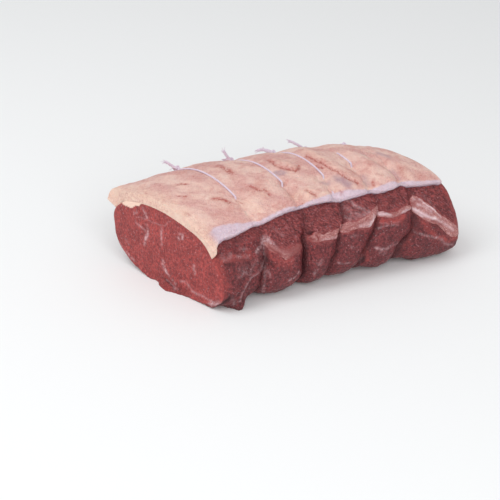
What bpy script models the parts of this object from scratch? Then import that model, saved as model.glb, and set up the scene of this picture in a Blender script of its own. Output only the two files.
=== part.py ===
"""A raw beef roasting joint with its cap of fat, tied with five turns of butcher's string.

Metres, +Z up. The joint lies along X, its lean side faces -Y, and both ends are cut on a slant.
Places along the joint are measured on the front shoulder, where the fat meets the lean.
"""
import math

import bmesh
import bpy
import numpy as np
from mathutils import Vector

MM = 0.001

# Driving sizes of the whole joint.
LEFT_CUT = -86 * MM
RIGHT_CUT = 139 * MM
SHOULDER_LINE = -45 * MM
TOP_LEVEL = 70 * MM
FLAT_SPOT = 0.8 * MM
GAP = 0.4 * MM

# Cross-sections, in mm. Each size has one value for each of these places along the joint.
PLACES = (-86, -46, -3, 63, 104, 139)
SLANT_DEGREES = (25, 20, 14, 11, 14, 22)
FORWARD_LEAN = (11, 20, 17, 17, 14, -3)
FRONT_FOOT = (-71, -71, -67, -63, -65, -63)
FRONT_BELLY = (-72, -70, -67, -65, -65, -60)
FRONT_SHOULDER = (-48, -44, -41, -41, -41, -39)
SHOULDER_HEIGHT = (51, 55, 63, 66, 64, 62)
CREST_HEIGHT = (62.5, 70, 73, 75, 73, 66)
BACK_HEIGHT = (51, 62, 63, 66.5, 65, 60)
BACK_FOOT = (36, 44, 48, 49, 44, 30)
BACK_BELLY = (40, 54, 60, 58, 48, 26)
BACK_SHOULDER = (48, 55, 51, 44, 36, 18)
BACK_LIFT = (10, 8, 6, 6, 9, 16)

# How square each corner of a cross-section is, from 2 for a round one upwards.
FRONT_FOOT_CORNER = 4.5
FRONT_SHOULDER_CORNER = 9
BACK_SHOULDER_CORNER = 4
BACK_FOOT_CORNER = 2.8
LEFT_CUT_CORNER = 60
RIGHT_CUT_CORNER = 14
RIGHT_CUT_BULGE = 5 * MM
LEFT_CUT_BULGE = 1.5 * MM

# The string's turns, and how deep each side of the joint is pinched under them.
TIES = (-39 * MM, 0 * MM, 34 * MM, 65 * MM, 95 * MM)
STRING_RADIUS = 0.8 * MM
STRING_GAP = 0.7 * MM
TIE_FLOOR = 1.7 * MM
FREE_END = 30 * MM
FRONT_CREASE = 10 * MM
TOP_CREASE = 1.5 * MM
BACK_CREASE = 3 * MM
BOTTOM_CREASE = 4 * MM
FRONT_SHARPNESS = 0.32
CREASE_SHARPNESS = 0.6
KNOT_REACH = (48 * MM, 48 * MM, 46 * MM, 42 * MM, 34 * MM)
KNOT_RADIUS = 2.2 * MM
TAIL_LENGTH = (13 * MM, 12 * MM, 13 * MM, 14 * MM, 9 * MM)

# A loose flap of meat at the foot of the first lobe.
FLAP_PLACE = -58 * MM
FLAP_LENGTH = 8 * MM
FLAP_SIZE = 9 * MM

# The cap of fat, from the front shoulder (-1) over the top to the back corner (1) and down.
FAT_THICKNESS = 6.5 * MM
FAT_BACK_EXTRA = 1.5 * MM
FAT_LIP = 6 * MM
FAT_LIP_PATH = 1.08
FAT_LIP_WIDTH = 0.25
FAT_LIP_LENGTH = 16 * MM
FAT_FURROW = 2 * MM
FAT_BACK_EDGE = 1.6
FAT_CUT_BACK_EDGE = 1.3
FAT_CUT_LENGTH = 28 * MM
FAT_DROOP = 0.3
FAT_DROOP_LENGTH = 7 * MM

# The seam of fat between two muscles, one pad of it in the front of each lobe but the first:
# start and end along the lobe, height at its start, middle and end, and width, in mm.
SEAM_PADS = (
    (0.12, 0.88, 46, 37, 40, 8),
    (0.14, 0.88, 45, 43, 44, 6),
    (0.12, 0.88, 48, 47, 51, 6),
    (0.12, 0.88, 54, 49, 51, 5),
    (0.10, 0.86, 57, 43, 26, 11),
)
SEAM_DEPTH = 3 * MM
SEAM_PROUD = 0.5 * MM

LEAN_RED = (0.33, 0.055, 0.06)
FAT_CREAM = (0.78, 0.50, 0.38)
STRING_WHITE = (0.78, 0.68, 0.74)


def along(sizes, place):
    """A size at a place along the joint, eased between the cross-sections."""
    places = np.array(PLACES) * MM
    values = np.array(sizes, dtype=float)
    slope = np.gradient(values, places)
    place = np.clip(place, places[0], places[-1])
    i = np.clip(np.searchsorted(places, place, side="right") - 1, 0, len(places) - 2)
    step = places[i + 1] - places[i]
    t = (place - places[i]) / step
    start = (2 * t**3 - 3 * t**2 + 1) * values[i] + (t**3 - 2 * t**2 + t) * step * slope[i]
    end = (3 * t**2 - 2 * t**3) * values[i + 1] + (t**3 - t**2) * step * slope[i + 1]
    return start + end


def bowed(low, middle, high, t):
    """A curve with these values at t = -1, 0 and 1."""
    return middle + (high - low) / 2 * t + ((high + low) / 2 - middle) * t * t


def rounded(across, up):
    """A point of a square of half-side 1, moved onto a square with the section's round corners."""
    reach = np.maximum(np.abs(across), np.abs(up))
    safe = np.where(reach > 0, reach, 1)
    a = across / safe
    b = up / safe
    front = np.where(up < 0, FRONT_FOOT_CORNER, FRONT_SHOULDER_CORNER)
    back = np.where(up < 0, BACK_FOOT_CORNER, BACK_SHOULDER_CORNER)
    corner = np.where(across < 0, front, back)
    length = (np.abs(a) ** corner + np.abs(b) ** corner) ** (1 / corner)
    length = np.maximum(length, 1)
    return reach * a / length, reach * b / length


def section(place, across, up):
    """Y and Z of a point of the cross-section: across and up run from -1 to 1."""
    c, d = rounded(across, up)
    foot = along(FRONT_FOOT, place)
    front = bowed(foot, along(FRONT_BELLY, place), along(FRONT_SHOULDER, place), d)
    back = bowed(along(BACK_FOOT, place), along(BACK_BELLY, place), along(BACK_SHOULDER, place), d)
    height = [along(sizes, place) for sizes in (SHOULDER_HEIGHT, CREST_HEIGHT, BACK_HEIGHT)]
    top = bowed(*height, c)
    bottom = along(BACK_LIFT, place) * np.maximum(c, 0) ** 3
    y = front + (back - front) * (c + 1) / 2
    z = bottom + (top - bottom) * (d + 1) / 2
    return y * MM, z * MM


def rim(angle):
    """The point of the square's rim seen at an angle from its middle."""
    a = np.cos(angle)
    b = np.sin(angle)
    reach = np.maximum(np.abs(a), np.abs(b))
    return a / reach, b / reach


def outward(place, across, up):
    """Y and Z of the direction that leads straight out of the cross-section."""
    angle = np.arctan2(up, across)
    before = section(place, *rim(angle - 0.02))
    after = section(place, *rim(angle + 0.02))
    dy = after[0] - before[0]
    dz = after[1] - before[1]
    length = np.hypot(dy, dz)
    return dz / length, -dy / length


def lobe(place):
    """0 under a turn of string, rising to 1 midway between two turns."""
    marks = np.array((LEFT_CUT - FREE_END,) + TIES + (RIGHT_CUT + FREE_END,))
    i = np.clip(np.searchsorted(marks, place, side="right") - 1, 0, len(marks) - 2)
    half = (marks[i + 1] - marks[i]) / 2 - TIE_FLOOR
    away = np.minimum(place - marks[i], marks[i + 1] - place) - TIE_FLOOR
    return np.sin(np.clip(away / half, 0, 1) * math.pi / 2)


def crease(place, across, up):
    """How far the string pulls the lean in here."""
    c, d = rounded(across, up)
    front = FRONT_CREASE * np.clip(-c, 0, 1) ** 3 * np.clip(1.1 - np.abs(d) ** 4, 0, 1)
    top = TOP_CREASE * np.clip(d, 0, 1) ** 3
    back = BACK_CREASE * np.clip(c, 0, 1) ** 3
    bottom = BOTTOM_CREASE * np.clip(-d, 0, 1) ** 3
    round_lobe = lobe(place)
    return front * (1 - round_lobe**FRONT_SHARPNESS) + (top + back + bottom) * (1 - round_lobe**CREASE_SHARPNESS)


def flap(place, across, up):
    """How far the loose flap stands out, low on the front."""
    height = np.exp(-(((up + 0.85) / 0.18) ** 2)) * (across < -0.6)
    return FLAP_SIZE * height * np.exp(-(((place - FLAP_PLACE) / FLAP_LENGTH) ** 2))


def in_space(place, y, z):
    """A point of the cross-section at a place, which stands slanted and leans forward."""
    slant = np.tan(np.radians(along(SLANT_DEGREES, place)))
    lean = along(FORWARD_LEAN, place) * MM * (1 - z / TOP_LEVEL)
    return np.stack([place - (y - SHOULDER_LINE) * slant - lean, y, z], axis=-1)


def lean_surface(place, across, up, raised=0.0):
    """A point on the lean's surface, or raised above it."""
    y, z = section(place, across, up)
    out_y, out_z = outward(place, across, up)
    lift = raised - crease(place, across, up) + flap(place, across, up)
    return in_space(place, y + out_y * lift, z + out_z * lift)


def fat_line(path):
    """The rim of the cross-section from below the front shoulder to the back edge of the fat."""
    across = np.clip(path, -1, 1)
    up = 1 - np.maximum(np.abs(path) - 1, 0)
    return across, up


def fat_thickness(place, path):
    """The fat's own thickness: thicker behind, with a lip at the cut, pinched by the string."""
    lip_along = ((place - LEFT_CUT) / FAT_LIP_LENGTH) ** 2
    lip = FAT_LIP * np.exp(-lip_along - ((path - FAT_LIP_PATH) / FAT_LIP_WIDTH) ** 2)
    furrow = FAT_FURROW * (1 - lobe(place) ** CREASE_SHARPNESS)
    back_edge = np.clip((FAT_BACK_EDGE - path) / 0.3, 0, 1) ** 0.5
    body = FAT_THICKNESS + FAT_BACK_EXTRA * np.clip(path, -1, 1) + lip - furrow
    return body * (0.3 + 0.7 * back_edge)


def places_along():
    """Steps along the joint, closer together beside each turn of string."""
    marks = (LEFT_CUT,) + TIES + (RIGHT_CUT,)
    shares = (0.04, 0.07, 0.14, 0.3, 0.5, 0.7, 0.86, 0.93, 0.96)
    steps = []
    for start, end in zip(marks, marks[1:]):
        steps += [start + (end - start) * share for share in shares]
    steps += [tie for tie in TIES]
    return sorted(steps)


def split_block(cuts):
    """A cube from -1 to 1 with its faces split at these places along X, Y and Z."""
    block = bmesh.new()
    bmesh.ops.create_cube(block, size=2)
    for axis, places in enumerate(cuts):
        normal = Vector([float(axis == i) for i in range(3)])
        for place in places:
            geometry = block.verts[:] + block.edges[:] + block.faces[:]
            bmesh.ops.bisect_plane(block, geom=geometry, plane_co=normal * place, plane_no=normal)
    return block


def even_cuts(count):
    return [-1 + 2 * i / count for i in range(1, count)]


def material(name, colour, roughness):
    """A plain finish of one colour."""
    made = bpy.data.materials.new(name)
    made.use_nodes = True
    shader = made.node_tree.nodes["Principled BSDF"]
    shader.inputs["Base Color"].default_value = (*colour, 1)
    shader.inputs["Roughness"].default_value = roughness
    shader.inputs["Metallic"].default_value = 0
    return made


def solid(name, block, shape, finish, collection):
    """An object made of a block whose points are moved by a shape function."""
    points = np.array([vertex.co for vertex in block.verts])
    for vertex, point in zip(block.verts, shape(points)):
        vertex.co = point
    bmesh.ops.recalc_face_normals(block, faces=block.faces)
    mesh = bpy.data.meshes.new(name)
    block.to_mesh(mesh)
    block.free()
    mesh.shade_smooth()
    mesh.materials.append(finish)
    made = bpy.data.objects.new(name, mesh)
    collection.objects.link(made)
    return made


def lean_shape(points):
    """The whole muscle: round lobes between the ties, a flat left cut and a bulging right one."""
    u, across, up = points.T
    reach = np.maximum(np.abs(across), np.abs(up))
    corner = np.where(u < 0, LEFT_CUT_CORNER, RIGHT_CUT_CORNER)
    length = (np.abs(u) ** corner + reach**corner) ** (1 / corner)
    place = LEFT_CUT + (RIGHT_CUT - LEFT_CUT) * (u / length + 1) / 2
    moved = lean_surface(place, across / length, up / length)
    bulge = np.where(u < 0, -LEFT_CUT_BULGE, RIGHT_CUT_BULGE)
    on_cut = np.abs(u) > 0.9999
    moved[:, 0] += np.where(on_cut, bulge * (1 - reach**2), 0)
    moved[:, 2] = np.maximum(moved[:, 2], FLAT_SPOT)
    return moved


def make_lean(finish, collection):
    u_cuts = [2 * (x - LEFT_CUT) / (RIGHT_CUT - LEFT_CUT) - 1 for x in places_along()]
    block = split_block((u_cuts, even_cuts(12), even_cuts(10)))
    return solid("lean", block, lean_shape, finish, collection)


def fat_shape(points):
    """The cap: a slab that follows the lean, a little above it."""
    u, path, share = points.T
    place = LEFT_CUT + (RIGHT_CUT - LEFT_CUT) * (u + 1) / 2
    droop = 0.12 + 0.88 * np.exp(-(((place - LEFT_CUT) / FAT_DROOP_LENGTH) ** 2))
    path = np.where(path < -1, -1 + (path + 1) * droop, path)
    near_cut = np.exp(-(((place - LEFT_CUT) / FAT_CUT_LENGTH) ** 2))
    shorter = 1 - (FAT_BACK_EDGE - FAT_CUT_BACK_EDGE) / (FAT_BACK_EDGE - 1) * near_cut
    path = np.where(path > 1, 1 + (path - 1) * shorter, path)
    corner = np.where(u < 0, LEFT_CUT_CORNER, RIGHT_CUT_CORNER)
    length = (np.abs(u) ** corner + 1) ** (1 / corner)
    place = LEFT_CUT + (RIGHT_CUT - LEFT_CUT) * (u / length + 1) / 2
    across, up = fat_line(path)
    raised = GAP + fat_thickness(place, path) * (share + 1) / 2
    return lean_surface(place, across / length, up / length, raised)


def make_fat(finish, collection):
    u_cuts = [2 * (x - LEFT_CUT) / (RIGHT_CUT - LEFT_CUT) - 1 for x in places_along()]
    path_cuts = [-1 + i / 6 for i in range(12 + 1)] + [1.2, 1.4]
    start = -1 - FAT_DROOP
    middle = (start + FAT_BACK_EDGE) / 2
    half = (FAT_BACK_EDGE - start) / 2
    block = split_block((u_cuts, [(cut - middle) / half for cut in path_cuts], ()))
    for vertex in block.verts:
        vertex.co.y = middle + vertex.co.y * half
    return solid("fat_cap", block, fat_shape, finish, collection)


def seam_shape(lobe_start, lobe_end, pad, grow):
    """A pad of seam fat set in the front of a lobe."""
    first, last, start_height, middle_height, end_height, width = pad

    def shape(points):
        u, side, depth = points.T
        middle = lobe_start + (lobe_end - lobe_start) * (first + (last - first) * (u + 1) / 2)
        half = (lobe_end - lobe_start) * (last - first) / 2
        place = middle + u * grow
        height = bowed(start_height, middle_height, end_height, u) * MM
        narrow = np.sqrt(np.clip(1 - np.abs(u) ** 3 * 0.8, 0, 1))
        height = height + side * (width * MM / 2 * narrow + grow)
        up = 2 * height / (along(SHOULDER_HEIGHT, place) * MM) - 1
        raised = SEAM_PROUD + grow - (SEAM_DEPTH + SEAM_PROUD + 2 * grow) * (1 - depth) / 2
        return lean_surface(place, -1 + 0 * u, up, raised)

    return shape


def make_seam_pads(lean, finish, collection, cutters):
    """Each pad of seam fat lies in a pocket cut to its shape."""
    marks = TIES + (RIGHT_CUT,)
    for number, pad in enumerate(SEAM_PADS):
        start, end = marks[number], marks[number + 1]
        cuts = (even_cuts(7), even_cuts(3), ())
        pocket = solid(f"pocket_{number + 2}", split_block(cuts), seam_shape(start, end, pad, GAP), finish, cutters)
        pocket.hide_render = True
        pocket.display_type = "WIRE"
        cut_out(lean, pocket)
        solid(f"seam_fat_{number + 2}", split_block(cuts), seam_shape(start, end, pad, 0), finish, collection)


def cut_out(target, cutter):
    """Take the cutter's shape out of the target."""
    change = target.modifiers.new("pocket", "BOOLEAN")
    change.operation = "DIFFERENCE"
    change.solver = "EXACT"
    change.object = cutter


def hull(points):
    """The shortest loop round a set of (y, z) points, as a taut string takes."""
    points = sorted(map(tuple, points))

    def chain(row):
        kept = []
        for p in row:
            while len(kept) > 1 and turn(kept[-2], kept[-1], p) <= 0:
                kept.pop()
            kept.append(p)
        return kept[:-1]

    return np.array(chain(points) + chain(reversed(points)))


def turn(a, b, c):
    return (b[0] - a[0]) * (c[1] - a[1]) - (b[1] - a[1]) * (c[0] - a[0])


def evenly(loop, count):
    """The same closed loop, with its points evenly spaced."""
    closed = np.vstack([loop, loop[:1]])
    travelled = np.concatenate([[0], np.cumsum(np.linalg.norm(np.diff(closed, axis=0), axis=1))])
    marks = np.linspace(0, travelled[-1], count, endpoint=False)
    return np.stack([np.interp(marks, travelled, closed[:, i]) for i in range(2)], axis=-1)


def string_loop(tie):
    """Y and Z of the string's path round the joint: taut over the fat and the lean."""
    angles = np.linspace(0, 2 * math.pi, 120, endpoint=False)
    across, up = rim(angles)
    over_lean = lean_surface(tie + 0 * angles, across, up)
    path = np.linspace(-1, FAT_BACK_EDGE, 60)
    over_fat = lean_surface(tie + 0 * path, *fat_line(path), GAP + fat_thickness(tie + 0 * path, path))
    taut = hull(np.vstack([over_lean, over_fat])[:, 1:])
    loop = evenly(taut, 200)
    ahead = np.roll(loop, -1, axis=0) - np.roll(loop, 1, axis=0)
    out = np.stack([ahead[:, 1], -ahead[:, 0]], axis=-1) / np.linalg.norm(ahead, axis=1)[:, None]
    return evenly(loop + out * (STRING_RADIUS + STRING_GAP), 43)


def tube(name, points, cyclic, collection):
    """A length of string along a row of points, with closed ends."""
    curve = bpy.data.curves.new(name, "CURVE")
    curve.dimensions = "3D"
    curve.bevel_depth = STRING_RADIUS
    curve.bevel_resolution = 0
    curve.use_fill_caps = True
    line = curve.splines.new("POLY")
    line.points.add(len(points) - 1)
    for made, point in zip(line.points, points):
        made.co = (*point, 1)
    line.use_cyclic_u = cyclic
    made = bpy.data.objects.new(name, curve)
    collection.objects.link(made)
    bpy.context.view_layer.update()
    mesh = bpy.data.meshes.new_from_object(made.evaluated_get(bpy.context.evaluated_depsgraph_get()))
    bpy.data.objects.remove(made)
    welded = bmesh.new()
    welded.from_mesh(mesh)
    bmesh.ops.remove_doubles(welded, verts=welded.verts, dist=0.01 * MM)
    bmesh.ops.recalc_face_normals(welded, faces=welded.faces)
    welded.to_mesh(mesh)
    welded.free()
    solid_piece = bpy.data.objects.new(name, mesh)
    collection.objects.link(solid_piece)
    return solid_piece


def knot_point(tie, loop, reach):
    """Where on the loop the knot sits: on top, this far behind the joint's middle line."""
    upper = loop[loop[:, 1] > 40 * MM]
    y, z = upper[np.argmin(np.abs(upper[:, 0] - reach))]
    return in_space(np.array(tie), y, z + 0.9 * KNOT_RADIUS)


def tail_points(knot, length, side):
    """A cut end of string that stands off the knot and droops a little."""
    heading = Vector((-0.75 if side < 0 else -0.35, 0.45, 0.55 if side < 0 else 0.3))
    heading.normalize()
    points = []
    for i in range(4):
        t = i / 3
        sag = Vector((0, 0, -0.18 * length * t * t))
        points.append(Vector(knot) + heading * length * t + sag)
    return points


def make_knot(name, knot, collection):
    ball = bmesh.new()
    bmesh.ops.create_uvsphere(ball, u_segments=8, v_segments=6, radius=KNOT_RADIUS)
    bmesh.ops.scale(ball, verts=ball.verts, vec=(1.1, 1.1, 0.9))
    bmesh.ops.translate(ball, verts=ball.verts, vec=Vector(knot))
    mesh = bpy.data.meshes.new(name)
    ball.to_mesh(mesh)
    ball.free()
    made = bpy.data.objects.new(name, mesh)
    collection.objects.link(made)
    return made


def make_string(number, tie, finish, collection):
    """One turn of string with its knot and two short tails, fused into one solid."""
    loop = string_loop(tie)
    path = in_space(tie + 0 * loop[:, 0], loop[:, 0], loop[:, 1])
    turn_of_string = tube(f"string_{number}", path, True, collection)
    knot = knot_point(tie, loop, KNOT_REACH[number - 1])
    extras = [make_knot(f"knot_{number}", knot, collection)]
    for side, share in ((-1, 1.0), (1, 0.6)):
        points = tail_points(knot, TAIL_LENGTH[number - 1] * share, side)
        extras.append(tube(f"tail_{number}_{side + 1}", points, False, collection))
    for extra in extras:
        join = turn_of_string.modifiers.new("join", "BOOLEAN")
        join.operation = "UNION"
        join.solver = "EXACT"
        join.object = extra
        apply_changes(turn_of_string)
        bpy.data.objects.remove(extra)
    turn_of_string.data.materials.clear()
    turn_of_string.data.materials.append(finish)
    turn_of_string.data.shade_smooth()


def apply_changes(made):
    """Bake an object's modifiers into its mesh."""
    bpy.context.view_layer.update()
    ready = made.evaluated_get(bpy.context.evaluated_depsgraph_get())
    mesh = bpy.data.meshes.new_from_object(ready)
    made.modifiers.clear()
    made.data = mesh


def stand_on_origin(pieces, collection):
    """Hang every piece on one empty that puts the middle of the joint's base on the origin."""
    corners = np.vstack([[vertex.co for vertex in piece.data.vertices] for piece in pieces])
    low = corners.min(axis=0)
    high = corners.max(axis=0)
    base = bpy.data.objects.new("joint_base", None)
    base.location = (-(low[0] + high[0]) / 2, -(low[1] + high[1]) / 2, -low[2])
    collection.objects.link(base)
    for piece in pieces:
        piece.parent = base


def main():
    for old in list(bpy.data.objects):
        bpy.data.objects.remove(old)
    joint = bpy.data.collections.new("beef_joint")
    cutters = bpy.data.collections.new("cutters")
    for collection in (joint, cutters):
        bpy.context.scene.collection.children.link(collection)
    lean = make_lean(material("lean_meat", LEAN_RED, 0.35), joint)
    fat = material("fat", FAT_CREAM, 0.4)
    make_fat(fat, joint)
    make_seam_pads(lean, fat, joint, cutters)
    apply_changes(lean)
    twine = material("string", STRING_WHITE, 0.8)
    for number, tie in enumerate(TIES, start=1):
        make_string(number, tie, twine, joint)
    stand_on_origin([piece for piece in joint.objects if piece.type == "MESH"], joint)


main()
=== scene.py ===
import math

import bpy
import numpy as np
from mathutils import Matrix, noise


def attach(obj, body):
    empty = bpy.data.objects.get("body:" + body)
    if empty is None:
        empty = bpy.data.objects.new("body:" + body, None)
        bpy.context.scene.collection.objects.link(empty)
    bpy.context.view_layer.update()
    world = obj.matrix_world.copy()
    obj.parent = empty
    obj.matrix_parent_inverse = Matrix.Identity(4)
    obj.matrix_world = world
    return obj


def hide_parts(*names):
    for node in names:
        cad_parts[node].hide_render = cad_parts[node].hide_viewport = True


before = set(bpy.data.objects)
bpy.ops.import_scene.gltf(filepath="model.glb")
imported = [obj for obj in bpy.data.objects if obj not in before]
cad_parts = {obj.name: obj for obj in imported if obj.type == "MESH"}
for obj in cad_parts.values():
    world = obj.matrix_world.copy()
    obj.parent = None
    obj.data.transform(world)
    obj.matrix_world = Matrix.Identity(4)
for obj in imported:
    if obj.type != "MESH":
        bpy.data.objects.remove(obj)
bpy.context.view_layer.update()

# The lean is one long raw muscle, cut across at both ends and pinched into lobes by the string.
# It is built as rings round cross-sections that slant and lean as the joint does, with a fine
# grid on each cut face, and then its grain, folds and sinew are raised and painted.
MM = 0.001
JOINT_BASE = (-6.388 * MM, 6.047 * MM, -0.8 * MM)
LEFT_CUT = -86 * MM
RIGHT_CUT = 139 * MM
SHOULDER_LINE = -45 * MM
TOP_LEVEL = 70 * MM
FLAT_SPOT = 0.8 * MM
PLACES = (-86, -46, -3, 63, 104, 139)
SLANT_DEGREES = (25, 20, 14, 11, 14, 22)
FORWARD_LEAN = (11, 20, 17, 17, 14, -3)
FRONT_FOOT = (-71, -71, -67, -63, -65, -63)
FRONT_BELLY = (-72, -70, -67, -65, -65, -60)
FRONT_SHOULDER = (-48, -44, -41, -41, -41, -39)
SHOULDER_HEIGHT = (51, 55, 63, 66, 64, 62)
CREST_HEIGHT = (62.5, 70, 73, 75, 73, 66)
BACK_HEIGHT = (51, 62, 63, 66.5, 65, 60)
BACK_FOOT = (36, 44, 48, 49, 44, 30)
BACK_BELLY = (40, 54, 60, 58, 48, 26)
BACK_SHOULDER = (48, 55, 51, 44, 36, 18)
BACK_LIFT = (10, 8, 6, 6, 9, 16)
FRONT_FOOT_CORNER = 4.5
FRONT_SHOULDER_CORNER = 9
BACK_SHOULDER_CORNER = 4
BACK_FOOT_CORNER = 2.8
LEFT_CUT_CORNER = 60
RIGHT_CUT_CORNER = 14
RIGHT_CUT_BULGE = 5 * MM
LEFT_CUT_BULGE = 1.5 * MM
TIES = (-39 * MM, 0 * MM, 34 * MM, 65 * MM, 95 * MM)
TIE_FLOOR = 0.3 * MM
FREE_END = 30 * MM
FRONT_CREASE = 10 * MM
TOP_CREASE = 1.5 * MM
BACK_CREASE = 3 * MM
BOTTOM_CREASE = 4 * MM
FRONT_SHARPNESS = 0.36
CREASE_SHARPNESS = 0.6
# On the front each crease wanders off its turn of string: at each height in mm, how far along, what
# share of the full pinch is left, and how much painted shade lies in it.
CREASES = (
    ((0, -1, 0.6, 0.4), (28, 0, 0.6, 0.5), (36, 3.5, 0.7, 0.7), (46, 6, 0.5, 0.3), (56, 6, 0.45, 0.2)),
    ((0, 3, 1, 0.8), (16, 3, 1, 0.8), (28, 0.4, 1, 0.8), (38, 1.5, 1, 0.8), (47, 0.1, 0.7, 0.5),
     (55, 3.7, 0.4, 0.2)),
    ((0, -13, 0.2, 0), (24, -12, 0.3, 0.2), (30, -6, 0.4, 0.45), (38, -4, 0.45, 0.5), (45, -2, 0.5, 0.5),
     (52, 4.3, 0.45, 0.4)),
    ((0, -8, 0.8, 0.7), (26, -7.4, 0.7, 0.6), (34, -5.5, 0.55, 0.5), (42, -0.5, 0.45, 0.5),
     (52, 4, 0.5, 0.5), (60, 5, 0.4, 0.3)),
    ((0, -7, 0.9, 0.7), (25, -6, 0.8, 0.6), (31, -1, 0.7, 0.5), (36, 4.5, 0.7, 0.5), (48, 7.3, 0.5, 0.5),
     (60, 7, 0.4, 0.3)),
)
WANDER, PINCH_LEFT, CREASE_SHADE = 1, 2, 3
FLAP_PLACE = -58 * MM
FLAP_LENGTH = 8 * MM
FLAP_SIZE = 9 * MM
FLAP_LEVEL = -0.85
FLAP_HEIGHT = 0.18
FILL_LENGTH = 11 * MM
FILL_SIZE = 2.2 * MM
FILL_PATH = -0.98
FILL_WIDTH = 0.32
RING_STEP = 0.92 * MM
TIE_CROWDING = 1.4
TIE_CROWD_WIDTH = 3 * MM
# Points up the front, over the top, down the back and under, and across and up the two cuts.
LEAN_SIDES = (84, 26, 50, 50)
LEAN_GRIDS = ((128, 74), (70, 52))
# A block runs from -1 to 1 each way, and a point beyond this is on its end.
AT_END = 0.9999


def along(sizes, place):
    """A size at a place along the joint, eased between the cross-sections."""
    places = np.array(PLACES) * MM
    values = np.array(sizes, dtype=float)
    slope = np.gradient(values, places)
    place = np.clip(place, places[0], places[-1])
    i = np.clip(np.searchsorted(places, place, side="right") - 1, 0, len(places) - 2)
    step = places[i + 1] - places[i]
    t = (place - places[i]) / step
    start = (2 * t**3 - 3 * t**2 + 1) * values[i] + (t**3 - 2 * t**2 + t) * step * slope[i]
    end = (3 * t**2 - 2 * t**3) * values[i + 1] + (t**3 - t**2) * step * slope[i + 1]
    return start + end


def bowed(low, middle, high, t):
    """A curve with these values at t = -1, 0 and 1."""
    return middle + (high - low) / 2 * t + ((high + low) / 2 - middle) * t * t


def rounded(across, up):
    """A point of a square of half-side 1, moved onto a square with the section's round corners."""
    reach = np.maximum(np.abs(across), np.abs(up))
    safe = np.where(reach > 0, reach, 1)
    a = across / safe
    b = up / safe
    front = np.where(up < 0, FRONT_FOOT_CORNER, FRONT_SHOULDER_CORNER)
    back = np.where(up < 0, BACK_FOOT_CORNER, BACK_SHOULDER_CORNER)
    corner = np.where(across < 0, front, back)
    length = np.maximum((np.abs(a) ** corner + np.abs(b) ** corner) ** (1 / corner), 1)
    return reach * a / length, reach * b / length


def section(place, across, up):
    """Y and Z of a point of the cross-section: across and up run from -1 to 1."""
    c, d = rounded(across, up)
    front = bowed(along(FRONT_FOOT, place), along(FRONT_BELLY, place), along(FRONT_SHOULDER, place), d)
    back = bowed(along(BACK_FOOT, place), along(BACK_BELLY, place), along(BACK_SHOULDER, place), d)
    top = bowed(along(SHOULDER_HEIGHT, place), along(CREST_HEIGHT, place), along(BACK_HEIGHT, place), c)
    bottom = along(BACK_LIFT, place) * np.maximum(c, 0) ** 3
    y = front + (back - front) * (c + 1) / 2
    z = bottom + (top - bottom) * (d + 1) / 2
    return y * MM, z * MM


def rim(angle):
    """The point of the square's rim seen at an angle from its middle."""
    a = np.cos(angle)
    b = np.sin(angle)
    reach = np.maximum(np.abs(a), np.abs(b))
    return a / reach, b / reach


def outward(place, across, up):
    """Y and Z of the direction that leads straight out of the cross-section."""
    angle = np.arctan2(up, across)
    before = section(place, *rim(angle - 0.02))
    after = section(place, *rim(angle + 0.02))
    dy = after[0] - before[0]
    dz = after[1] - before[1]
    length = np.hypot(dy, dz)
    return dz / length, -dy / length


def lobe(place):
    """0 under a turn of string, rising to 1 midway between two turns."""
    marks = np.array((LEFT_CUT - FREE_END,) + TIES + (RIGHT_CUT + FREE_END,))
    i = np.clip(np.searchsorted(marks, place, side="right") - 1, 0, len(marks) - 2)
    half = (marks[i + 1] - marks[i]) / 2 - TIE_FLOOR
    away = np.minimum(place - marks[i], marks[i + 1] - place) - TIE_FLOOR
    return np.sin(np.clip(away / half, 0, 1) * math.pi / 2)


def pinch(across, up):
    """How far the string pulls in the front of a cross-section, and the rest of it."""
    c, d = rounded(across, up)
    front = FRONT_CREASE * np.clip(-c, 0, 1) ** 3 * np.clip(1.1 - np.abs(d) ** 4, 0, 1)
    rest = TOP_CREASE * np.clip(d, 0, 1) ** 3 + BACK_CREASE * np.clip(c, 0, 1) ** 3
    return front, rest + BOTTOM_CREASE * np.clip(-d, 0, 1) ** 3


def at_creases(place, up, column):
    """A column of the crease lists at this place and height, eased between two turns."""
    height = along(SHOULDER_HEIGHT, place) * (up + 1) / 2
    lines = [np.array(line).T for line in CREASES]
    values = np.stack([np.interp(height, line[0], line[column]) for line in lines])
    i = np.clip(np.searchsorted(TIES, place) - 1, 0, len(TIES) - 2)
    ties = np.array(TIES)
    t = np.clip((place - ties[i]) / (ties[i + 1] - ties[i]), 0, 1)
    before = np.take_along_axis(values, i[None], 0)[0]
    after = np.take_along_axis(values, i[None] + 1, 0)[0]
    return before * (1 - t) + after * t


def front_lobe(place, up):
    """Like lobe, but along the wandering creases of the front."""
    return lobe(place - at_creases(place, up, WANDER) * MM)


def crease(place, across, up):
    """How far the meat is pulled in here. On the front it closes over the string again."""
    front, rest = pinch(across, up)
    front = front * at_creases(place, up, PINCH_LEFT) * (1 - front_lobe(place, up) ** FRONT_SHARPNESS)
    return front + rest * (1 - lobe(place) ** CREASE_SHARPNESS)


def hump(values, middle, width):
    """1 at the middle, fading out to both sides over this width."""
    return np.exp(-(((values - middle) / width) ** 2))


def flap(place, across, up):
    """How far the loose flap stands out, low on the front."""
    height = hump(up, FLAP_LEVEL, FLAP_HEIGHT) * (across < -0.6)
    return FLAP_SIZE * height * hump(place, FLAP_PLACE, FLAP_LENGTH)


def fill(place, across, up):
    """How far the lean fills out the fat's lip, at the front shoulder of the left cut."""
    reach = np.maximum(np.maximum(np.abs(across), np.abs(up)), 0.01)
    path = np.where(across < -0.999 * reach, up / reach - 2, np.where(up > 0.999 * reach, across / reach, 9))
    return FILL_SIZE * hump(path, FILL_PATH, FILL_WIDTH) * hump(place, LEFT_CUT, FILL_LENGTH) * reach**6


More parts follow.
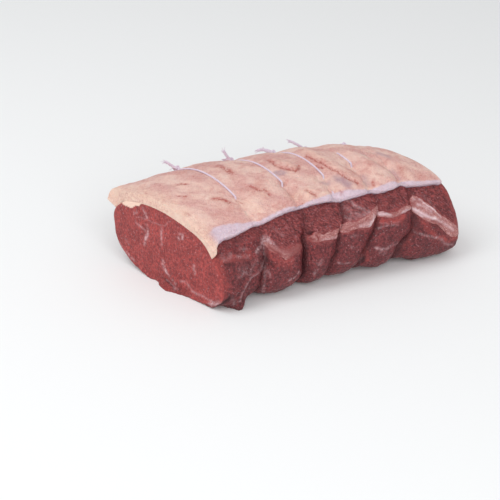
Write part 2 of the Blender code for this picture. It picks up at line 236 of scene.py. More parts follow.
def in_space(place, y, z):
    """A point of the cross-section at a place, which stands slanted and leans forward."""
    slant = np.tan(np.radians(along(SLANT_DEGREES, place)))
    lean = along(FORWARD_LEAN, place) * MM * (1 - z / TOP_LEVEL)
    return np.stack([place - (y - SHOULDER_LINE) * slant - lean, y, z], axis=-1) + JOINT_BASE


def lifted(place, across, up, lift):
    """Y and Z of a point of the cross-section, moved straight out of it."""
    y, z = section(place, across, up)
    out_y, out_z = outward(place, across, up)
    return y + out_y * lift, z + out_z * lift


def lean_surface(place, across, up, raised):
    """A point raised above the lean's surface."""
    lift = raised - crease(place, across, up) + flap(place, across, up)
    return in_space(place, *lifted(place, across, up, lift))


def rings_along(step):
    """Where to set the rings of a block, from -1 to 1: closer together beside each turn of string."""
    fine = np.linspace(LEFT_CUT, RIGHT_CUT, 4000)
    crowd = sum(TIE_CROWDING * hump(fine, tie, TIE_CROWD_WIDTH) for tie in TIES)
    travelled = np.concatenate([[0], np.cumsum((1 + crowd[1:]) * np.diff(fine))])
    count = int(travelled[-1] / step)
    places = np.interp(np.linspace(0, travelled[-1], count), travelled, fine)
    return 2 * (places - LEFT_CUT) / (RIGHT_CUT - LEFT_CUT) - 1


def square_rim(counts):
    """Points round a square of half-side 1: up its front, back over its top, down, and forward."""
    front, top, back, bottom = [np.linspace(-1, 1, count, endpoint=False) for count in counts]
    across = np.concatenate([0 * front - 1, top, 0 * back + 1, -bottom])
    up = np.concatenate([front, 0 * top + 1, -back, 0 * bottom - 1])
    return across, up


def travel(across, up):
    """How far round the square's rim a point is, from 0 at the front foot to 8."""
    reach = np.maximum(np.abs(across), np.abs(up))
    a = across / reach
    b = up / reach
    on_front = a <= -1 + 1e-9
    on_top = b >= 1 - 1e-9
    on_back = a >= 1 - 1e-9
    far = np.where(on_front, b + 1, np.where(on_top, a + 3, np.where(on_back, 5 - b, 7 - a)))
    return far % 8


def zipped(outer, outer_at, inner, inner_at):
    """Faces that join two closed rows of points which run the same way round a rim."""
    faces = []
    i = j = 0
    while i < len(outer) or j < len(inner):
        a, b = outer[i % len(outer)], inner[j % len(inner)]
        next_outer = outer_at[i + 1] if i + 1 < len(outer) else 8.0
        next_inner = inner_at[j + 1] if j + 1 < len(inner) else 8.0
        if j >= len(inner) or (i < len(outer) and next_outer <= next_inner):
            i += 1
            faces.append((a, outer[i % len(outer)], b))
        else:
            j += 1
            faces.append((a, inner[j % len(inner)], b))
    return faces


def block(lengthwise, counts, grids):
    """Points (along, across, up) on a block from -1 to 1, and its faces: rings and two end grids."""
    across, up = square_rim(counts)
    size = len(across)
    rings = len(lengthwise)
    points = [np.stack([np.full(size, u), across, up], axis=-1) for u in lengthwise]
    ids = np.arange(rings * size).reshape(rings, size)
    after = np.roll(ids, -1, axis=1)
    quads = np.stack([ids[:-1], ids[1:], after[1:], after[:-1]], axis=-1).reshape(-1, 4)
    faces = quads.tolist()
    total = rings * size
    for end, (wide, tall) in zip((0, -1), grids):
        inset = 1 - 1.4 / max(wide, tall)
        a, b = np.meshgrid(np.linspace(-inset, inset, wide), np.linspace(-inset, inset, tall), indexing="ij")
        grid = total + np.arange(wide * tall).reshape(wide, tall)
        total += wide * tall
        points.append(np.stack([np.full(a.size, lengthwise[end]), a.ravel(), b.ravel()], axis=-1))
        cells = np.stack([grid[:-1, :-1], grid[1:, :-1], grid[1:, 1:], grid[:-1, 1:]], axis=-1).reshape(-1, 4)
        edge = np.concatenate([grid[0], grid[1:, -1], grid[-1, :-1][::-1], grid[1:-1, 0][::-1]])
        flat = points[-1][edge - grid[0, 0]]
        border = zipped(ids[end].tolist(), travel(across, up), edge.tolist(), travel(flat[:, 1], flat[:, 2]))
        if end == 0:
            cells = cells[:, ::-1]
        else:
            border = [face[::-1] for face in border]
        faces += cells.tolist() + border
    return np.vstack(points), faces


def mesh_of(name, points, faces):
    """A mesh with these points and faces."""
    mesh = bpy.data.meshes.new(name)
    mesh.from_pydata(np.array(points).tolist(), [], faces)
    return mesh


def in_scene(name, data):
    """An object in the scene that shows a mesh, a light or a camera."""
    made = bpy.data.objects.new(name, data)
    bpy.context.scene.collection.objects.link(made)
    return made


def piece(name, points, faces, replaced, material):
    """A mesh object that rides with the joint in the place of one of its solids."""
    mesh = mesh_of(name, points, faces)
    mesh.shade_smooth()
    mesh.materials.append(material)
    made = in_scene(name, mesh)
    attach(made, "root")
    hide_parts(replaced)
    return made


def facing(points, faces):
    """The direction that each point of a mesh faces."""
    mesh = mesh_of("facing", points, faces)
    normals = np.zeros(len(points) * 3)
    mesh.vertex_normals.foreach_get("vector", normals)
    bpy.data.meshes.remove(mesh)
    return normals.reshape(-1, 3)


def paint(made, **masks):
    """Keep a number from 0 to 1 at each point of a piece, for its material to read."""
    for name, values in masks.items():
        kept = made.data.attributes.new(name, "FLOAT", "POINT")
        kept.data.foreach_set("value", np.clip(values, 0, 1).astype(np.float32))


def rough(points, size, seed):
    """Smooth noise from -1 to 1 with bumps of about this size, in mm, or a size for each axis."""
    spots = points / (np.array(size) * MM) + seed * 7.31
    return np.array([noise.noise(spot) for spot in spots.tolist()])


def near(spots, line, width):
    """1 on a line of points in mm, fading out over its width."""
    line = np.array(line, dtype=float)
    if len(line) == 1:
        line = np.vstack([line, line + 0.01])
    away = np.full(len(spots), 1e9)
    for start, end in zip(line, line[1:]):
        way = end - start
        t = np.clip((spots - start) @ way / (way @ way), 0, 1)
        away = np.minimum(away, np.linalg.norm(spots - start - t[:, None] * way, axis=1))
    return hump(away, 0, width)


def ramp(values, low, high):
    """0 below the low value, 1 above the high one, and eased between them."""
    t = np.clip((values - low) / (high - low), 0, 1)
    return t * t * (3 - 2 * t)


def wire(tree, node, inputs):
    """Set a node's inputs, or link other nodes' outputs to them."""
    for name, value in inputs.items():
        socket = node.inputs[name]
        if isinstance(value, bpy.types.NodeSocket):
            tree.links.new(value, socket)
        else:
            socket.default_value = (*value, 1) if socket.type == "RGBA" else value


def add(tree, kind, inputs, output=0, **settings):
    """Add a node with these settings and inputs, and return one of its outputs."""
    made = tree.nodes.new("ShaderNode" + kind)
    for name, value in settings.items():
        setattr(made, name, value)
    wire(tree, made, inputs)
    return made.outputs[output]


def mixed(tree, amount, first, second):
    """Two colours mixed by an amount."""
    return add(tree, "Mix", {0: amount, 6: first, 7: second}, 2, data_type="RGBA")


def times(tree, value, factor, more=0.0):
    """A value times a factor, and some more."""
    return add(tree, "Math", {0: value, 1: factor, 2: more}, operation="MULTIPLY_ADD")


def between(tree, value, low, high, smooth=True):
    """0 below the low value and 1 above the high one."""
    way = "SMOOTHSTEP" if smooth else "LINEAR"
    return add(tree, "MapRange", {0: value, 1: low, 2: high, 3: 0.0, 4: 1.0}, interpolation_type=way)


def stretched(tree, where, sizes, turn=(0, 0, 0)):
    """Places in which a bump of this size in mm, or of a size for each axis, is one unit long."""
    turned = add(tree, "Mapping", {0: where, 2: tuple(math.radians(a) for a in turn)}, vector_type="TEXTURE")
    return add(tree, "Mapping", {0: turned, 3: (1000 / np.broadcast_to(sizes, 3)).tolist()})


def clouds(tree, where, sizes=None, detail=2.0, roughness=0.5, turn=(0, 0, 0)):
    """Cloudy noise from 0 to 1, with bumps of these sizes in mm, or one unit long."""
    if sizes is not None:
        where = stretched(tree, where, sizes, turn)
    return add(tree, "TexNoise", {"Vector": where, "Scale": 1.0, "Detail": detail, "Roughness": roughness})


def mask(tree, name):
    """A number painted on the piece."""
    return add(tree, "Attribute", {}, 2, attribute_name=name)


def layered(tree, base, *layers):
    """Colours laid one after another over a base colour, each through a mask at its strength."""
    for over, amount, strength in layers:
        if isinstance(amount, str):
            amount = mask(tree, amount)
        if strength < 1:
            amount = times(tree, amount, strength)
        base = mixed(tree, amount, base, over)
    return base


def bump(tree, height, strength, distance):
    """The way a bumpy surface faces, its bumps this many metres high."""
    return add(tree, "Bump", {"Strength": strength, "Distance": distance, "Height": height})


def colour(red, green, blue):
    """A colour given as a screen shows it, from 0 to 255."""
    part = np.array([red, green, blue]) / 255
    return tuple(np.where(part > 0.04045, ((part + 0.055) / 1.055) ** 2.4, part / 12.92).tolist())


def finish(name):
    """A new material, its nodes and its shader."""
    made = bpy.data.materials.new(name)
    made.use_nodes = True
    return made, made.node_tree, made.node_tree.nodes["Principled BSDF"]


def group(name, results):
    """A new node group that takes places and a scale for them, the scaled places, and its outlet."""
    tree = bpy.data.node_groups.new(name, "ShaderNodeTree")
    tree.interface.new_socket("Where", in_out="INPUT", socket_type="NodeSocketVector")
    tree.interface.new_socket("Size", in_out="INPUT", socket_type="NodeSocketFloat")
    for result in results:
        tree.interface.new_socket(result, in_out="OUTPUT", socket_type="NodeSocketFloat")
    given = tree.nodes.new("NodeGroupInput").outputs
    sized = add(tree, "VectorMath", {0: given["Where"], 3: given["Size"]}, operation="SCALE")
    return tree, sized, tree.nodes.new("NodeGroupOutput")


def use(tree, shared, where, size=1.0):
    """Use a node group in a material, and return its outputs."""
    made = tree.nodes.new("ShaderNodeGroup")
    made.node_tree = shared
    wire(tree, made, {"Where": where, "Size": size})
    return made.outputs


# Wet meat is mottled at three sizes at once: bundles of fibre, single fibres and tiny pores.
meat_grain, sized, outlet = group("meat_grain", ("Mottle", "Fleck", "Height"))
coarse = clouds(meat_grain, sized, None, 4.0, 0.7)
pores = add(meat_grain, "TexVoronoi", {"Vector": sized, "Scale": 1.7})
wire(meat_grain, outlet, {
    "Mottle": between(meat_grain, coarse, 0.4, 0.6, False),
    "Fleck": between(meat_grain, coarse, 0.6, 0.68),
    "Height": times(meat_grain, between(meat_grain, pores, 0.0, 0.8, False), 0.5, coarse),
})

CUT_RED = colour(194, 84, 80)
CUT_DARK = colour(142, 58, 59)
SIDE_RED = colour(160, 64, 65)
SIDE_DARK = colour(84, 30, 36)
FIBRE_RED = colour(190, 94, 92)
VEIL_PALE = colour(132, 61, 64)
VEIL_DARK = colour(80, 34, 39)
PAINTED_SHEEN = colour(180, 118, 126)
SINEW = colour(226, 190, 194)
FAT_CREAM = colour(252, 219, 200)
BRIGHT_RED = colour(184, 78, 72)
CLEFT_SHADE = colour(58, 16, 22)
SEAM_TINT = colour(164, 96, 94)

raw_lean, tree, shader = finish("raw_lean")
where = add(tree, "TexCoord", {}, 3)
side_grain = stretched(tree, where, (2.0, 1.9, 1.9))
cut_grain = stretched(tree, where, (1.9, 1.8, 2.4), (-14, 0, 0))
side_look = use(tree, meat_grain, side_grain)
cut_look = use(tree, meat_grain, cut_grain)
strand_look = use(tree, meat_grain, stretched(tree, where, (4.5, 1.5, 1.1), (0, 40, 0)))
strand_gap_shade = clouds(tree, where, (8, 2.6, 1.7), 3.0, 0.65, (0, 36, 0))
strand_highlights = clouds(tree, where, (7, 1.8, 1.0), 3.0, 0.6, (0, 44, 0))
patches = clouds(tree, where, 11, 4.0, 0.6)
blotches = clouds(tree, where, 4, 3.0, 0.6)
broken = clouds(tree, where, 1.6, 2.0, 0.6)
plain_side = mixed(tree, side_look["Mottle"], SIDE_DARK, SIDE_RED)
# Among the fibres the dark gaps are painted shade and the light streaks are painted highlight.
strands = layered(
    tree, mixed(tree, 0.65, plain_side, mixed(tree, strand_look["Mottle"], SIDE_DARK, FIBRE_RED)),
    (CLEFT_SHADE, between(tree, strand_gap_shade, 0.52, 0.64), 0.55),
    (PAINTED_SHEEN, between(tree, strand_highlights, 0.55, 0.68), 0.5),
)
meat = layered(
    tree, plain_side,
    (mixed(tree, side_look["Mottle"], VEIL_DARK, VEIL_PALE), "veil", 1),
    (strands, "fibre", 1),
    # Fine flecks of painted sheen: the glints of the wet surface.
    (PAINTED_SHEEN, use(tree, meat_grain, side_grain, 1.4)["Fleck"], 0.5),
    (mixed(tree, cut_look["Mottle"], CUT_DARK, CUT_RED), "cut", 1),
    (SIDE_DARK, between(tree, patches, 0.35, 0.65), 0.25),
    (SIDE_DARK, between(tree, blotches, 0.4, 0.65), 0.22),
    (mixed(tree, side_look["Mottle"], SIDE_RED, SEAM_TINT), "seam", 1),
    (mixed(tree, side_look["Mottle"], SIDE_RED, BRIGHT_RED), "bright", 1),
    (SINEW, use(tree, meat_grain, cut_grain, 1.3)["Fleck"], 0.4),
    (SINEW, times(tree, mask(tree, "pale"), between(tree, broken, 0.25, 0.6)), 0.85),
    (FAT_CREAM, "fatty", 1),
    # Painted shade in the clefts, the hole, the wedges and the cracks, and the darker ends and patch.
    (CLEFT_SHADE, "dark", 1),
)
surface = add(tree, "Mix", {0: mask(tree, "fibre"), 2: side_look["Height"], 3: strand_look["Height"]})
surface = add(tree, "Mix", {0: mask(tree, "cut"), 2: surface, 3: cut_look["Height"]})
wire(tree, shader, {
    "Base Color": meat,
    "Roughness": times(tree, broken, 0.4, 0.22),
    "Specular IOR Level": 0.35,
    "Subsurface Weight": 0.05,
    "Subsurface Radius": (1.0, 0.25, 0.2),
    "Subsurface Scale": 0.002,
    "Normal": bump(tree, surface, 1.0, 0.0009),
})


def cut_rounding(u, reach):
    """The place for u from -1 to 1, and how much to draw in the cross-section, so its ends are round."""
    corner = np.where(u < 0, LEFT_CUT_CORNER, RIGHT_CUT_CORNER)
    length = (np.abs(u) ** corner + reach**corner) ** (1 / corner)
    return LEFT_CUT + (RIGHT_CUT - LEFT_CUT) * (u / length + 1) / 2, length


def lean_shape(u, across, up):
    """The whole muscle: round lobes between the ties, a flat left cut and a bulging right one."""
    reach = np.maximum(np.abs(across), np.abs(up))
    place, length = cut_rounding(u, reach)
    moved = lean_surface(place, across / length, up / length, fill(place, across, up))
    bulge = np.where(u < 0, -LEFT_CUT_BULGE, RIGHT_CUT_BULGE)
    moved[:, 0] += np.where(np.abs(u) > AT_END, bulge * (1 - reach**2), 0)
    return moved, place


rings = rings_along(RING_STEP)
lean_points, lean_faces = block(rings, LEAN_SIDES, LEAN_GRIDS)
u, across, up = lean_points.T
on_cut = (u < -AT_END).astype(float)
on_right_cut = (u > AT_END).astype(float)
base, place = lean_shape(u, across, up)
spot = base / MM
on_front = ramp(-across, 0.7, 0.95) * (1 - on_cut) * (1 - on_right_cut)

# What the front of the joint shows, as lines of (x, z) in mm seen from the front. In a list of
# marks each line has its width in mm and its strength.
SILVER_RIDGE = (
    (-43, 46), (-46, 38), (-46, 35), (-49, 32), (-52, 28), (-58, 26), (-63, 25), (-66, 23), (-69, 20),
    (-72, 16), (-73, 9),
)
SILVER_VEINS = (
    (((-72, 33), (-69, 30), (-67, 30), (-64, 28), (-61, 27)), 0.9, 0.8),
    (((-68, 31), (-65, 32.5), (-63, 33)), 0.8, 0.5),
    (((-77, 29), (-74, 28), (-72, 28), (-69, 29)), 0.9, 0.4),
    (((-46, 39), (-51, 37), (-54, 35), (-58, 33), (-61, 30)), 1.0, 0.35),
    (((-70, 31), (-62, 30), (-56, 33)), 4.5, 0.12),
)
FRONT_THREADS_AND_SHEEN = (
    (((-44, 46), (-47, 43), (-51, 41), (-53, 40)), 1.1, 0.8), (((-50, 41), (-52, 38.5)), 1.2, 0.5),
    (((-83, 42), (-80, 40.5), (-77, 41.5), (-75, 42)), 1.5, 0.45), (((-71, 40.5), (-67, 40.5)), 1.0, 0.6),
    (((-64, 40), (-61, 38.5)), 1.2, 0.35), (((-66, 45), (-63, 44), (-60, 42.5)), 0.9, 0.35),
    (((-48, 29), (-49, 23), (-50, 18), (-50, 12), (-49, 8)), 1.1, 0.5), (((-46, 27), (-45, 22)), 0.8, 0.5),
    (((-30, 17), (-26, 18), (-23, 19.5), (-20, 21)), 0.7, 0.8), (((-5, 17), (-4, 19), (-3, 21)), 0.9, 0.6),
    (((-2, 25), (1, 27)), 1.5, 0.4), (((17, 22), (22, 20), (27, 20)), 0.7, 0.7),
    (((39, 14), (41, 20)), 0.9, 0.6), (((30, 40), (36, 40)), 0.7, 0.3), (((29, 32), (30, 31)), 0.8, 0.4),
    (((52, 26.5), (57, 25.5), (61, 25), (66, 27), (72, 27.5)), 1.0, 0.8), (((56, 23), (60, 22)), 1.2, 0.35),
    (((57, 41), (63, 42), (69, 41.5), (74, 42)), 0.6, 0.6),
    (((59, 44), (65, 43.5), (71, 43.5), (77, 44.5)), 0.5, 0.35),
    # The next three strokes, in the upper band of the fourth lobe, are painted sheen.
    (((33, 63), (37, 62), (41, 59), (46, 56), (53, 53)), 1.3, 0.6),
    (((31, 58), (37, 55), (43, 53), (49, 52)), 1.8, 0.5),
    (((29, 54), (30, 52), (34, 51), (40, 52)), 1.8, 0.4), (((-80.5, 13), (-77, 8)), 1.5, 0.45),
    (((-77, 6), (-74, 9)), 1.2, 0.35), (((-35, 54), (-31, 50), (-28, 48)), 0.7, 0.3),
    (((107, 56), (110, 51), (113, 46)), 0.8, 0.35),
    (((91, 32), (97, 29.5), (103, 27), (111, 25)), 0.8, 0.6),
    (((111, 25), (117, 20), (122, 16), (128, 14)), 1.2, 0.5), (((98, 53), (103, 50)), 0.8, 0.4),
    (((-20, 22), (-16, 17)), 0.8, 0.3),
)
CONNECTIVE_KNOT = (
    (((-44.5, 45), (-43, 47.5), (-41, 48.5), (-39.5, 47), (-40, 45)), 0.9, 1.0),
    (((-42.5, 46), (-41, 44.5), (-38, 44), (-35, 42.5)), 1.2, 0.9), (((-39, 47.5), (-38.5, 45)), 0.8, 0.7),
)
BRIGHT_BANDS = (
    (((-89, 41), (-83, 40), (-76, 40.5), (-68, 40), (-60, 39.5)), 2.6, 0.8),
    (((-86, 36), (-85, 30), (-84, 22)), 2.4, 0.5),
    (((-41, 37), (-38, 34), (-33, 31), (-27, 31)), 3.4, 0.55),
    (((60, 46), (65, 45), (71, 44.5), (77, 45.5), (82, 47.5)), 2.0, 0.9),
    (((97, 43), (100, 38), (103, 34), (107, 28.5), (114, 24), (123, 19), (131, 19)), 2.0, 0.9),
    (((41, 20), (44, 25), (46, 16)), 2.4, 0.5), (((80, 22), (86, 27), (90, 33)), 1.6, 0.6),
)
# Five pads of seam fat lie in the front, each given as (place, lower edge, upper edge) in mm.
SEAM_PADS = (
    ((-33, 46, 48.5), (-30, 42.4, 46), (-27, 40.4, 43.8), (-24, 37.3, 42.6), (-21, 33.7, 41.7),
     (-16, 34.1, 41.4), (-9.5, 36.4, 42.1), (-5, 38, 42.7), (-0.5, 41, 43)),
    ((3.5, 44.8, 46), (5.5, 43.6, 46), (7.2, 42.3, 46.2), (9.3, 41.6, 47.8), (12, 41.7, 46.6),
     (15.5, 42.1, 45.6), (19, 41.6, 45.9), (23.5, 40.9, 46.4), (28.8, 42, 47.1), (33, 45.6, 47.4)),
    ((33.5, 45.6, 49.4), (38.9, 44.5, 50.4), (45, 45.4, 50), (50, 45.2, 50.2), (55, 44.5, 51.6),
     (58.5, 44.2, 52.8), (61.5, 46.2, 54), (65, 49.8, 55.6), (69, 53, 57), (71, 55.5, 57.4)),
    ((69.5, 52, 53.4), (73.2, 49.9, 52.7), (77.5, 48.5, 51.3), (80.5, 48.2, 50.8), (84.3, 48.5, 51.2),
     (88, 49.3, 51.9), (91.4, 50.2, 52.5), (97, 51, 53.2), (101.5, 52, 53.4)),
    ((102.5, 50, 57.5), (105, 46.5, 59), (108.5, 43, 57.5), (112.5, 39.5, 54), (117, 36.5, 50),
     (119, 35, 47), (120.5, 32.5, 45), (122, 30.2, 43), (124.3, 26.5, 40), (128.8, 21.3, 35.5),
     (132.5, 21.5, 30.5), (134.5, 23, 27)),
)
# A hole and wedge-shaped clefts carved into the front, painted in shade.
SHADED_HOLE = ((-5, 46), (-3, 46.3), (-1, 46), (-2, 44.5))
SHADED_WEDGES = (
    (((110, 35), (114, 34.5), (118, 31)), 2.4, 0.45), (((-45.5, 35), (-44, 33), (-41, 30)), 1.1, 0.45),
    (((-82, 37.5), (-76, 37)), 1.3, 0.5), (((42, 13), (43, 18)), 1.2, 0.7),
    (((-2, 42.5), (2, 42)), 0.9, 0.3), (((-88.5, 6), (-86.4, 11.5), (-82.4, 14.5)), 1.5, 0.85),
    (((-6, 60), (-3, 56), (0, 52)), 0.9, 0.4), (((11, 60), (13, 56), (15, 52)), 0.9, 0.35),
    (((20.5, 60), (22.5, 57), (24.5, 52)), 0.9, 0.4), (((70, 61), (72, 58), (76, 55)), 0.9, 0.35),
    (((82, 62), (85, 58.5), (87, 55)), 0.9, 0.35), (((-22, 58), (-19, 54), (-16, 50)), 0.9, 0.35),
)
SEAM_LINE = (
    (-90, 44), (-50, 46), (-43, 43), (-33, 37), (-24, 37), (-8, 41), (4, 42), (26, 43), (41, 46), (58, 49),
    (63, 49), (76, 48), (92, 49), (107, 44), (115, 37), (130, 25),
)

# What the cut face shows, as lines of (y, z) in mm.
CUT_THREADS = (
    ((27, 49), (24, 50)), ((19, 56), (15, 53), (13, 49)), ((12, 44), (10, 39), (10, 34), (11, 27)),
    ((-2, 48), (-5, 34)), ((-9, 22), (-11, 16), (-15, 12)), ((23, 42), (13, 39)), ((31, 23), (27, 20)),
    ((-19, 50), (-22, 51), (-23, 47)), ((-20, 45), (-18.5, 47)), ((-9, 18), (-12, 13), (-17, 11)),
    ((-28, 11), (-34, 13), (-40, 8), (-52, 8), (-60, 7)), ((-15, 6), (-21, 4), (-26, 3)),
    ((-20, 9), (-24, 7)), ((37, 17), (34, 13), (30, 12)), ((28, 12), (19, 8)), ((-38, 30), (-40, 24)),
)
CUT_SEAM = ((25, 46), (18, 48), (11, 49), (1, 49), (-5, 51), (-9, 57), (-10, 63))
CUT_CRACKS = (((-8, 35), (-9, 28), (-11, 21)), ((-13, 6), (-20, 3)))
CUT_DIAMOND = ((10, 37), (10, 33))
PALE_CORNER = ((-58, 4), (-63, 6), (-66, 8))
DARK_PATCH = ((-13, 6), (-23, 3), (-34, 1))
FAT_LINE = (
    (54, 44), (46, 47), (42, 52), (37, 51), (30, 52), (27, 55), (23, 57), (20, 62), (15, 61), (9, 64),
    (0, 64), (-10, 63), (-21, 60), (-33, 57), (-42, 53), (-52, 46),
)


def shaken(spots, points, seed):
    """The same spots with a little waviness, so that lines drawn through them aren't smooth."""
    for size, height, start in ((7, 0.9, seed), (2.2, 0.5, seed + 2)):
        wave = [rough(points, size, start), rough(points, size, start + 1)]
        spots = spots + height * np.stack(wave, axis=-1)
    return spots


def marked(spots, marks):
    """All the marks of a list together: each a line, its width in mm and its strength."""
    return sum(strength * near(spots, line, width) for line, width, strength in marks)


def traced(spots, lines, width):
    """All the lines of a list together, each this many mm wide."""
    return sum(near(spots, line, width) for line in lines)


def level(values, line):
    """The height of a line of points at these places along it."""
    places, heights = np.array(sorted(line), dtype=float).T
    return np.interp(values, places, heights)


def in_pads(place, up, spread):
    """1 where a pad of seam fat lies in the front, fading out over this many mm round it."""
    height = along(SHOULDER_HEIGHT, place) * (up + 1) / 2
    found = 0 * place
    for pad in SEAM_PADS:
        places, low, high = np.array(pad, dtype=float).T
        inside = ramp(place / MM, places[0] - spread, places[0] + 1)
        inside = inside * (1 - ramp(place / MM, places[-1] - 1, places[-1] + spread))
        inside = inside * ramp(height - np.interp(place / MM, places, low), -spread, 0.6)
        found = np.maximum(found, inside * ramp(np.interp(place / MM, places, high) - height, -spread, 0.6))
    return found


x, y, z = spot.T
plain_front = spot[:, (0, 2)]
front_spots = shaken(plain_front, base, 41)
cut_spots = shaken(spot[:, (1, 2)], base, 51)
fine = rough(base, 5, 1)
rim_of_cut = np.maximum(np.abs(across), np.abs(up))

# Pale threads, veins and sinew, broken up along their length, with a few strokes of painted sheen.
broken_up = 0.6 + 0.75 * rough(base, 3, 7)
threads_and_sheen = marked(front_spots, FRONT_THREADS_AND_SHEEN + CONNECTIVE_KNOT) + 0.5 * marked(front_spots, SILVER_VEINS)
silver = near(shaken(plain_front, base, 61) * 0.6 + plain_front * 0.4, SILVER_RIDGE, 0.85)
cut_thread = 0.75 * traced(cut_spots, CUT_THREADS, 1.0) + near(cut_spots, CUT_DIAMOND, 1.4)
pale = (threads_and_sheen * broken_up + silver * (0.5 + 0.45 * rough(base, 4, 8))) * on_front
pale += (cut_thread * broken_up + 0.3 * near(cut_spots, CUT_SEAM, 0.5)) * on_cut
pale += 0.9 * near(cut_spots, PALE_CORNER, 2.4) * on_cut

# Above the seam of fat the front shows its fibres, and below it a duller veil covers them.
seam_height = level(x, SEAM_LINE)
low_front = ramp(seam_height - z, -1, 3) * on_front
fibre = ramp(z - seam_height, 0, 4) * on_front
veil = low_front * (0.65 + 0.5 * rough(base, 16, 5)) * ramp(x, -92, -78)
pads = in_pads(place, up, 1.2) * on_front
seam = in_pads(place, up, 3.5) * on_front * (0.55 + 0.6 * rough(base, 3, 35))

# Painted shade in the hole, the wedges and the clefts where the string pinches the meat, and the
# front painted darker towards both ends.
gap = 1 - ramp(front_lobe(place, up) ** FRONT_SHARPNESS, 0.42, 0.72)
dark = (0.95 * near(front_spots, SHADED_HOLE, 1.5) + marked(front_spots, SHADED_WEDGES)) * on_front
dark += gap * at_creases(place, up, CREASE_SHADE) * on_front
dark += (0.16 * (1 - ramp(place / MM, -56, -44)) + 0.08 * ramp(place / MM, 100, 106)) * on_front
# Painted shade in the cracks of the cut face, and a darker patch low on it.
dark += (0.4 * traced(cut_spots, CUT_CRACKS, 0.7) + 0.3 * near(cut_spots, DARK_PATCH, 4.5)) * on_cut

# Bright red where the meat was freshly opened, and fat along the top of the cut.
bright = marked(front_spots, BRIGHT_BANDS) * (0.7 + 0.6 * rough(base, 2.5, 9)) * on_front
bright += 0.5 * on_cut * ramp(rim_of_cut, 0.9, 0.97) * (0.5 + 0.6 * rough(base, 6, 10))
bright += 0.35 * (1 - on_cut) * (1 - ramp((place - LEFT_CUT) / MM, 1, 5)) * ramp(-across, 0.6, 0.9)
fatty = ramp(z - level(y, FAT_LINE) + 0.7 * fine, -0.3, 0.3) * on_cut

# The relief in mm: swells and fibres, the ridge with the hollow behind it, the hole and the cracks,
# a bed for each pad of seam fat, and the ragged foot.
right_of_ridge = x - level(z, [point[::-1] for point in SILVER_RIDGE])
hollow = ramp(right_of_ridge, -0.5, 3.5) * (1 - ramp(right_of_ridge, 8, 15)) * ramp(-z, -42, -34) * on_front
turned = base @ np.array(((0.77, 0, 0.64), (0, 1, 0), (-0.64, 0, 0.77)))
relief = 0.6 * rough(base, 13, 2) + 0.35 * fine
relief += fibre * (0.9 * rough(turned, (9, 3, 2.2), 3) + 0.45 * rough(turned, (4, 1.4, 0.9), 30))
relief += low_front * (1.5 * ramp(front_lobe(place, up), 0.25, 0.9) + 0.12 * rough(base, 2, 31))
relief -= 0.8 * hump(z - seam_height, 1.5, 2.2) * on_front * ramp(x, -50, -40)
relief += (0.9 * near(plain_front, SILVER_RIDGE, 2.2) + 0.5 * silver) * on_front
relief -= 1.6 * hollow * (1 - gap)
relief -= (2.2 * near(front_spots, SHADED_HOLE, 1.6) + 0.9 * marked(front_spots, SHADED_WEDGES)) * on_front
relief += 0.25 * pale
relief -= 0.6 * np.minimum(traced(cut_spots, CUT_CRACKS, 0.8), 1) * on_cut
relief *= 1 - 0.6 * on_cut - 0.4 * on_right_cut
relief += 0.14 * rough(base, 1.6, 4)
relief = relief * (1 - pads) - 0.6 * pads
foot = hump(z, 0, 7) * ramp(-across, 0.3, 0.9) * (1 - on_cut)
relief += foot * (2.0 * rough(base, 6, 6) + 0.9 * rough(base, 2.4, 32))
relief += 0.9 * hump(z, 0, 9) * ramp(-x, 78, 86) * rough(base, 4.5, 33)
lean_skin = base + facing(base, lean_faces) * (relief * MM)[:, None]

# The lower rim of the cut is ragged: it spills out in small lumps. The foot rests flat.
rim_spill = ramp(rim_of_cut, 0.86, 1.0) * (1 - ramp((place - LEFT_CUT) / MM, 0, 7))
lump = 0.5 + 0.8 * rough(base, 8, 34) + 0.2 * rough(base, 3, 36)
spilt = 6 * ramp(-up, 0.5, 0.9) * hump(y, -18, 17) + 0.5
lean_skin[:, 0] -= spilt * rim_spill * lump * MM
lean_skin[:, 2] = np.maximum(lean_skin[:, 2], FLAT_SPOT + JOINT_BASE[2])
lean = piece("roast_lean", lean_skin, lean_faces, "lean", raw_lean)
paint(lean, pale=pale, dark=dark, veil=veil, bright=bright, fatty=fatty, fibre=fibre, seam=seam,
      cut=on_cut + 0.5 * on_right_cut)

# The cap is the layer of fat left on the outside of the muscle: cream where it is cut, pinker
# where it was skinned, and lilac along its front edge. It is a slab laid over the lean, with a
# furrow at each turn of string that closes over the string in places.
FAT_THICKNESS = 6.5 * MM
FAT_BACK_EXTRA = 1.5 * MM
# Places over the fat are on a path round the cross-section, from -1 at the front shoulder to 1 at the
# back one. The fat starts a little below the first and ends well below the second.
FAT_FRONT_EDGE = -1.3
FAT_EASE = -0.8
FAT_BACK_EDGE = 1.6
FAT_CUT_BACK_EDGE = 1.3
FAT_CUT_LENGTH = 28 * MM
FAT_LIP = 6 * MM
FAT_LIP_PATH = 1.08
FAT_LIP_WIDTH = 0.25
FAT_LIP_LENGTH = 16 * MM
# The back corner of the fat at the left cut is pulled in along the joint.
EAR_PULL = 3 * MM
EAR_LENGTH = 8 * MM
EAR_WIDTH = 0.35
FAT_BEDDING = 0.6 * MM
FAT_CUT_FLUSH = 1.5 * MM
FAT_EDGE_ROUND = 2.2 * MM
FAT_RING_STEP = 1.0 * MM
FAT_SIDES = (9, 170, 6, 24)
FAT_GRIDS = ((150, 9), (60, 6))
PATH_LENGTH = 46
OPEN_FURROW = 0.7 * MM
CLOSED_FURROW = 1.1 * MM
# Where each turn of string shows on top of the fat, from and to these y in mm. Elsewhere the fat
# has closed over it.
STRING_SHOWS = (((-13, 99),), ((-11, 99),), ((-36, -28), (-14, 99)), ((-6, 15), (40, 99)), ((32, 99),))
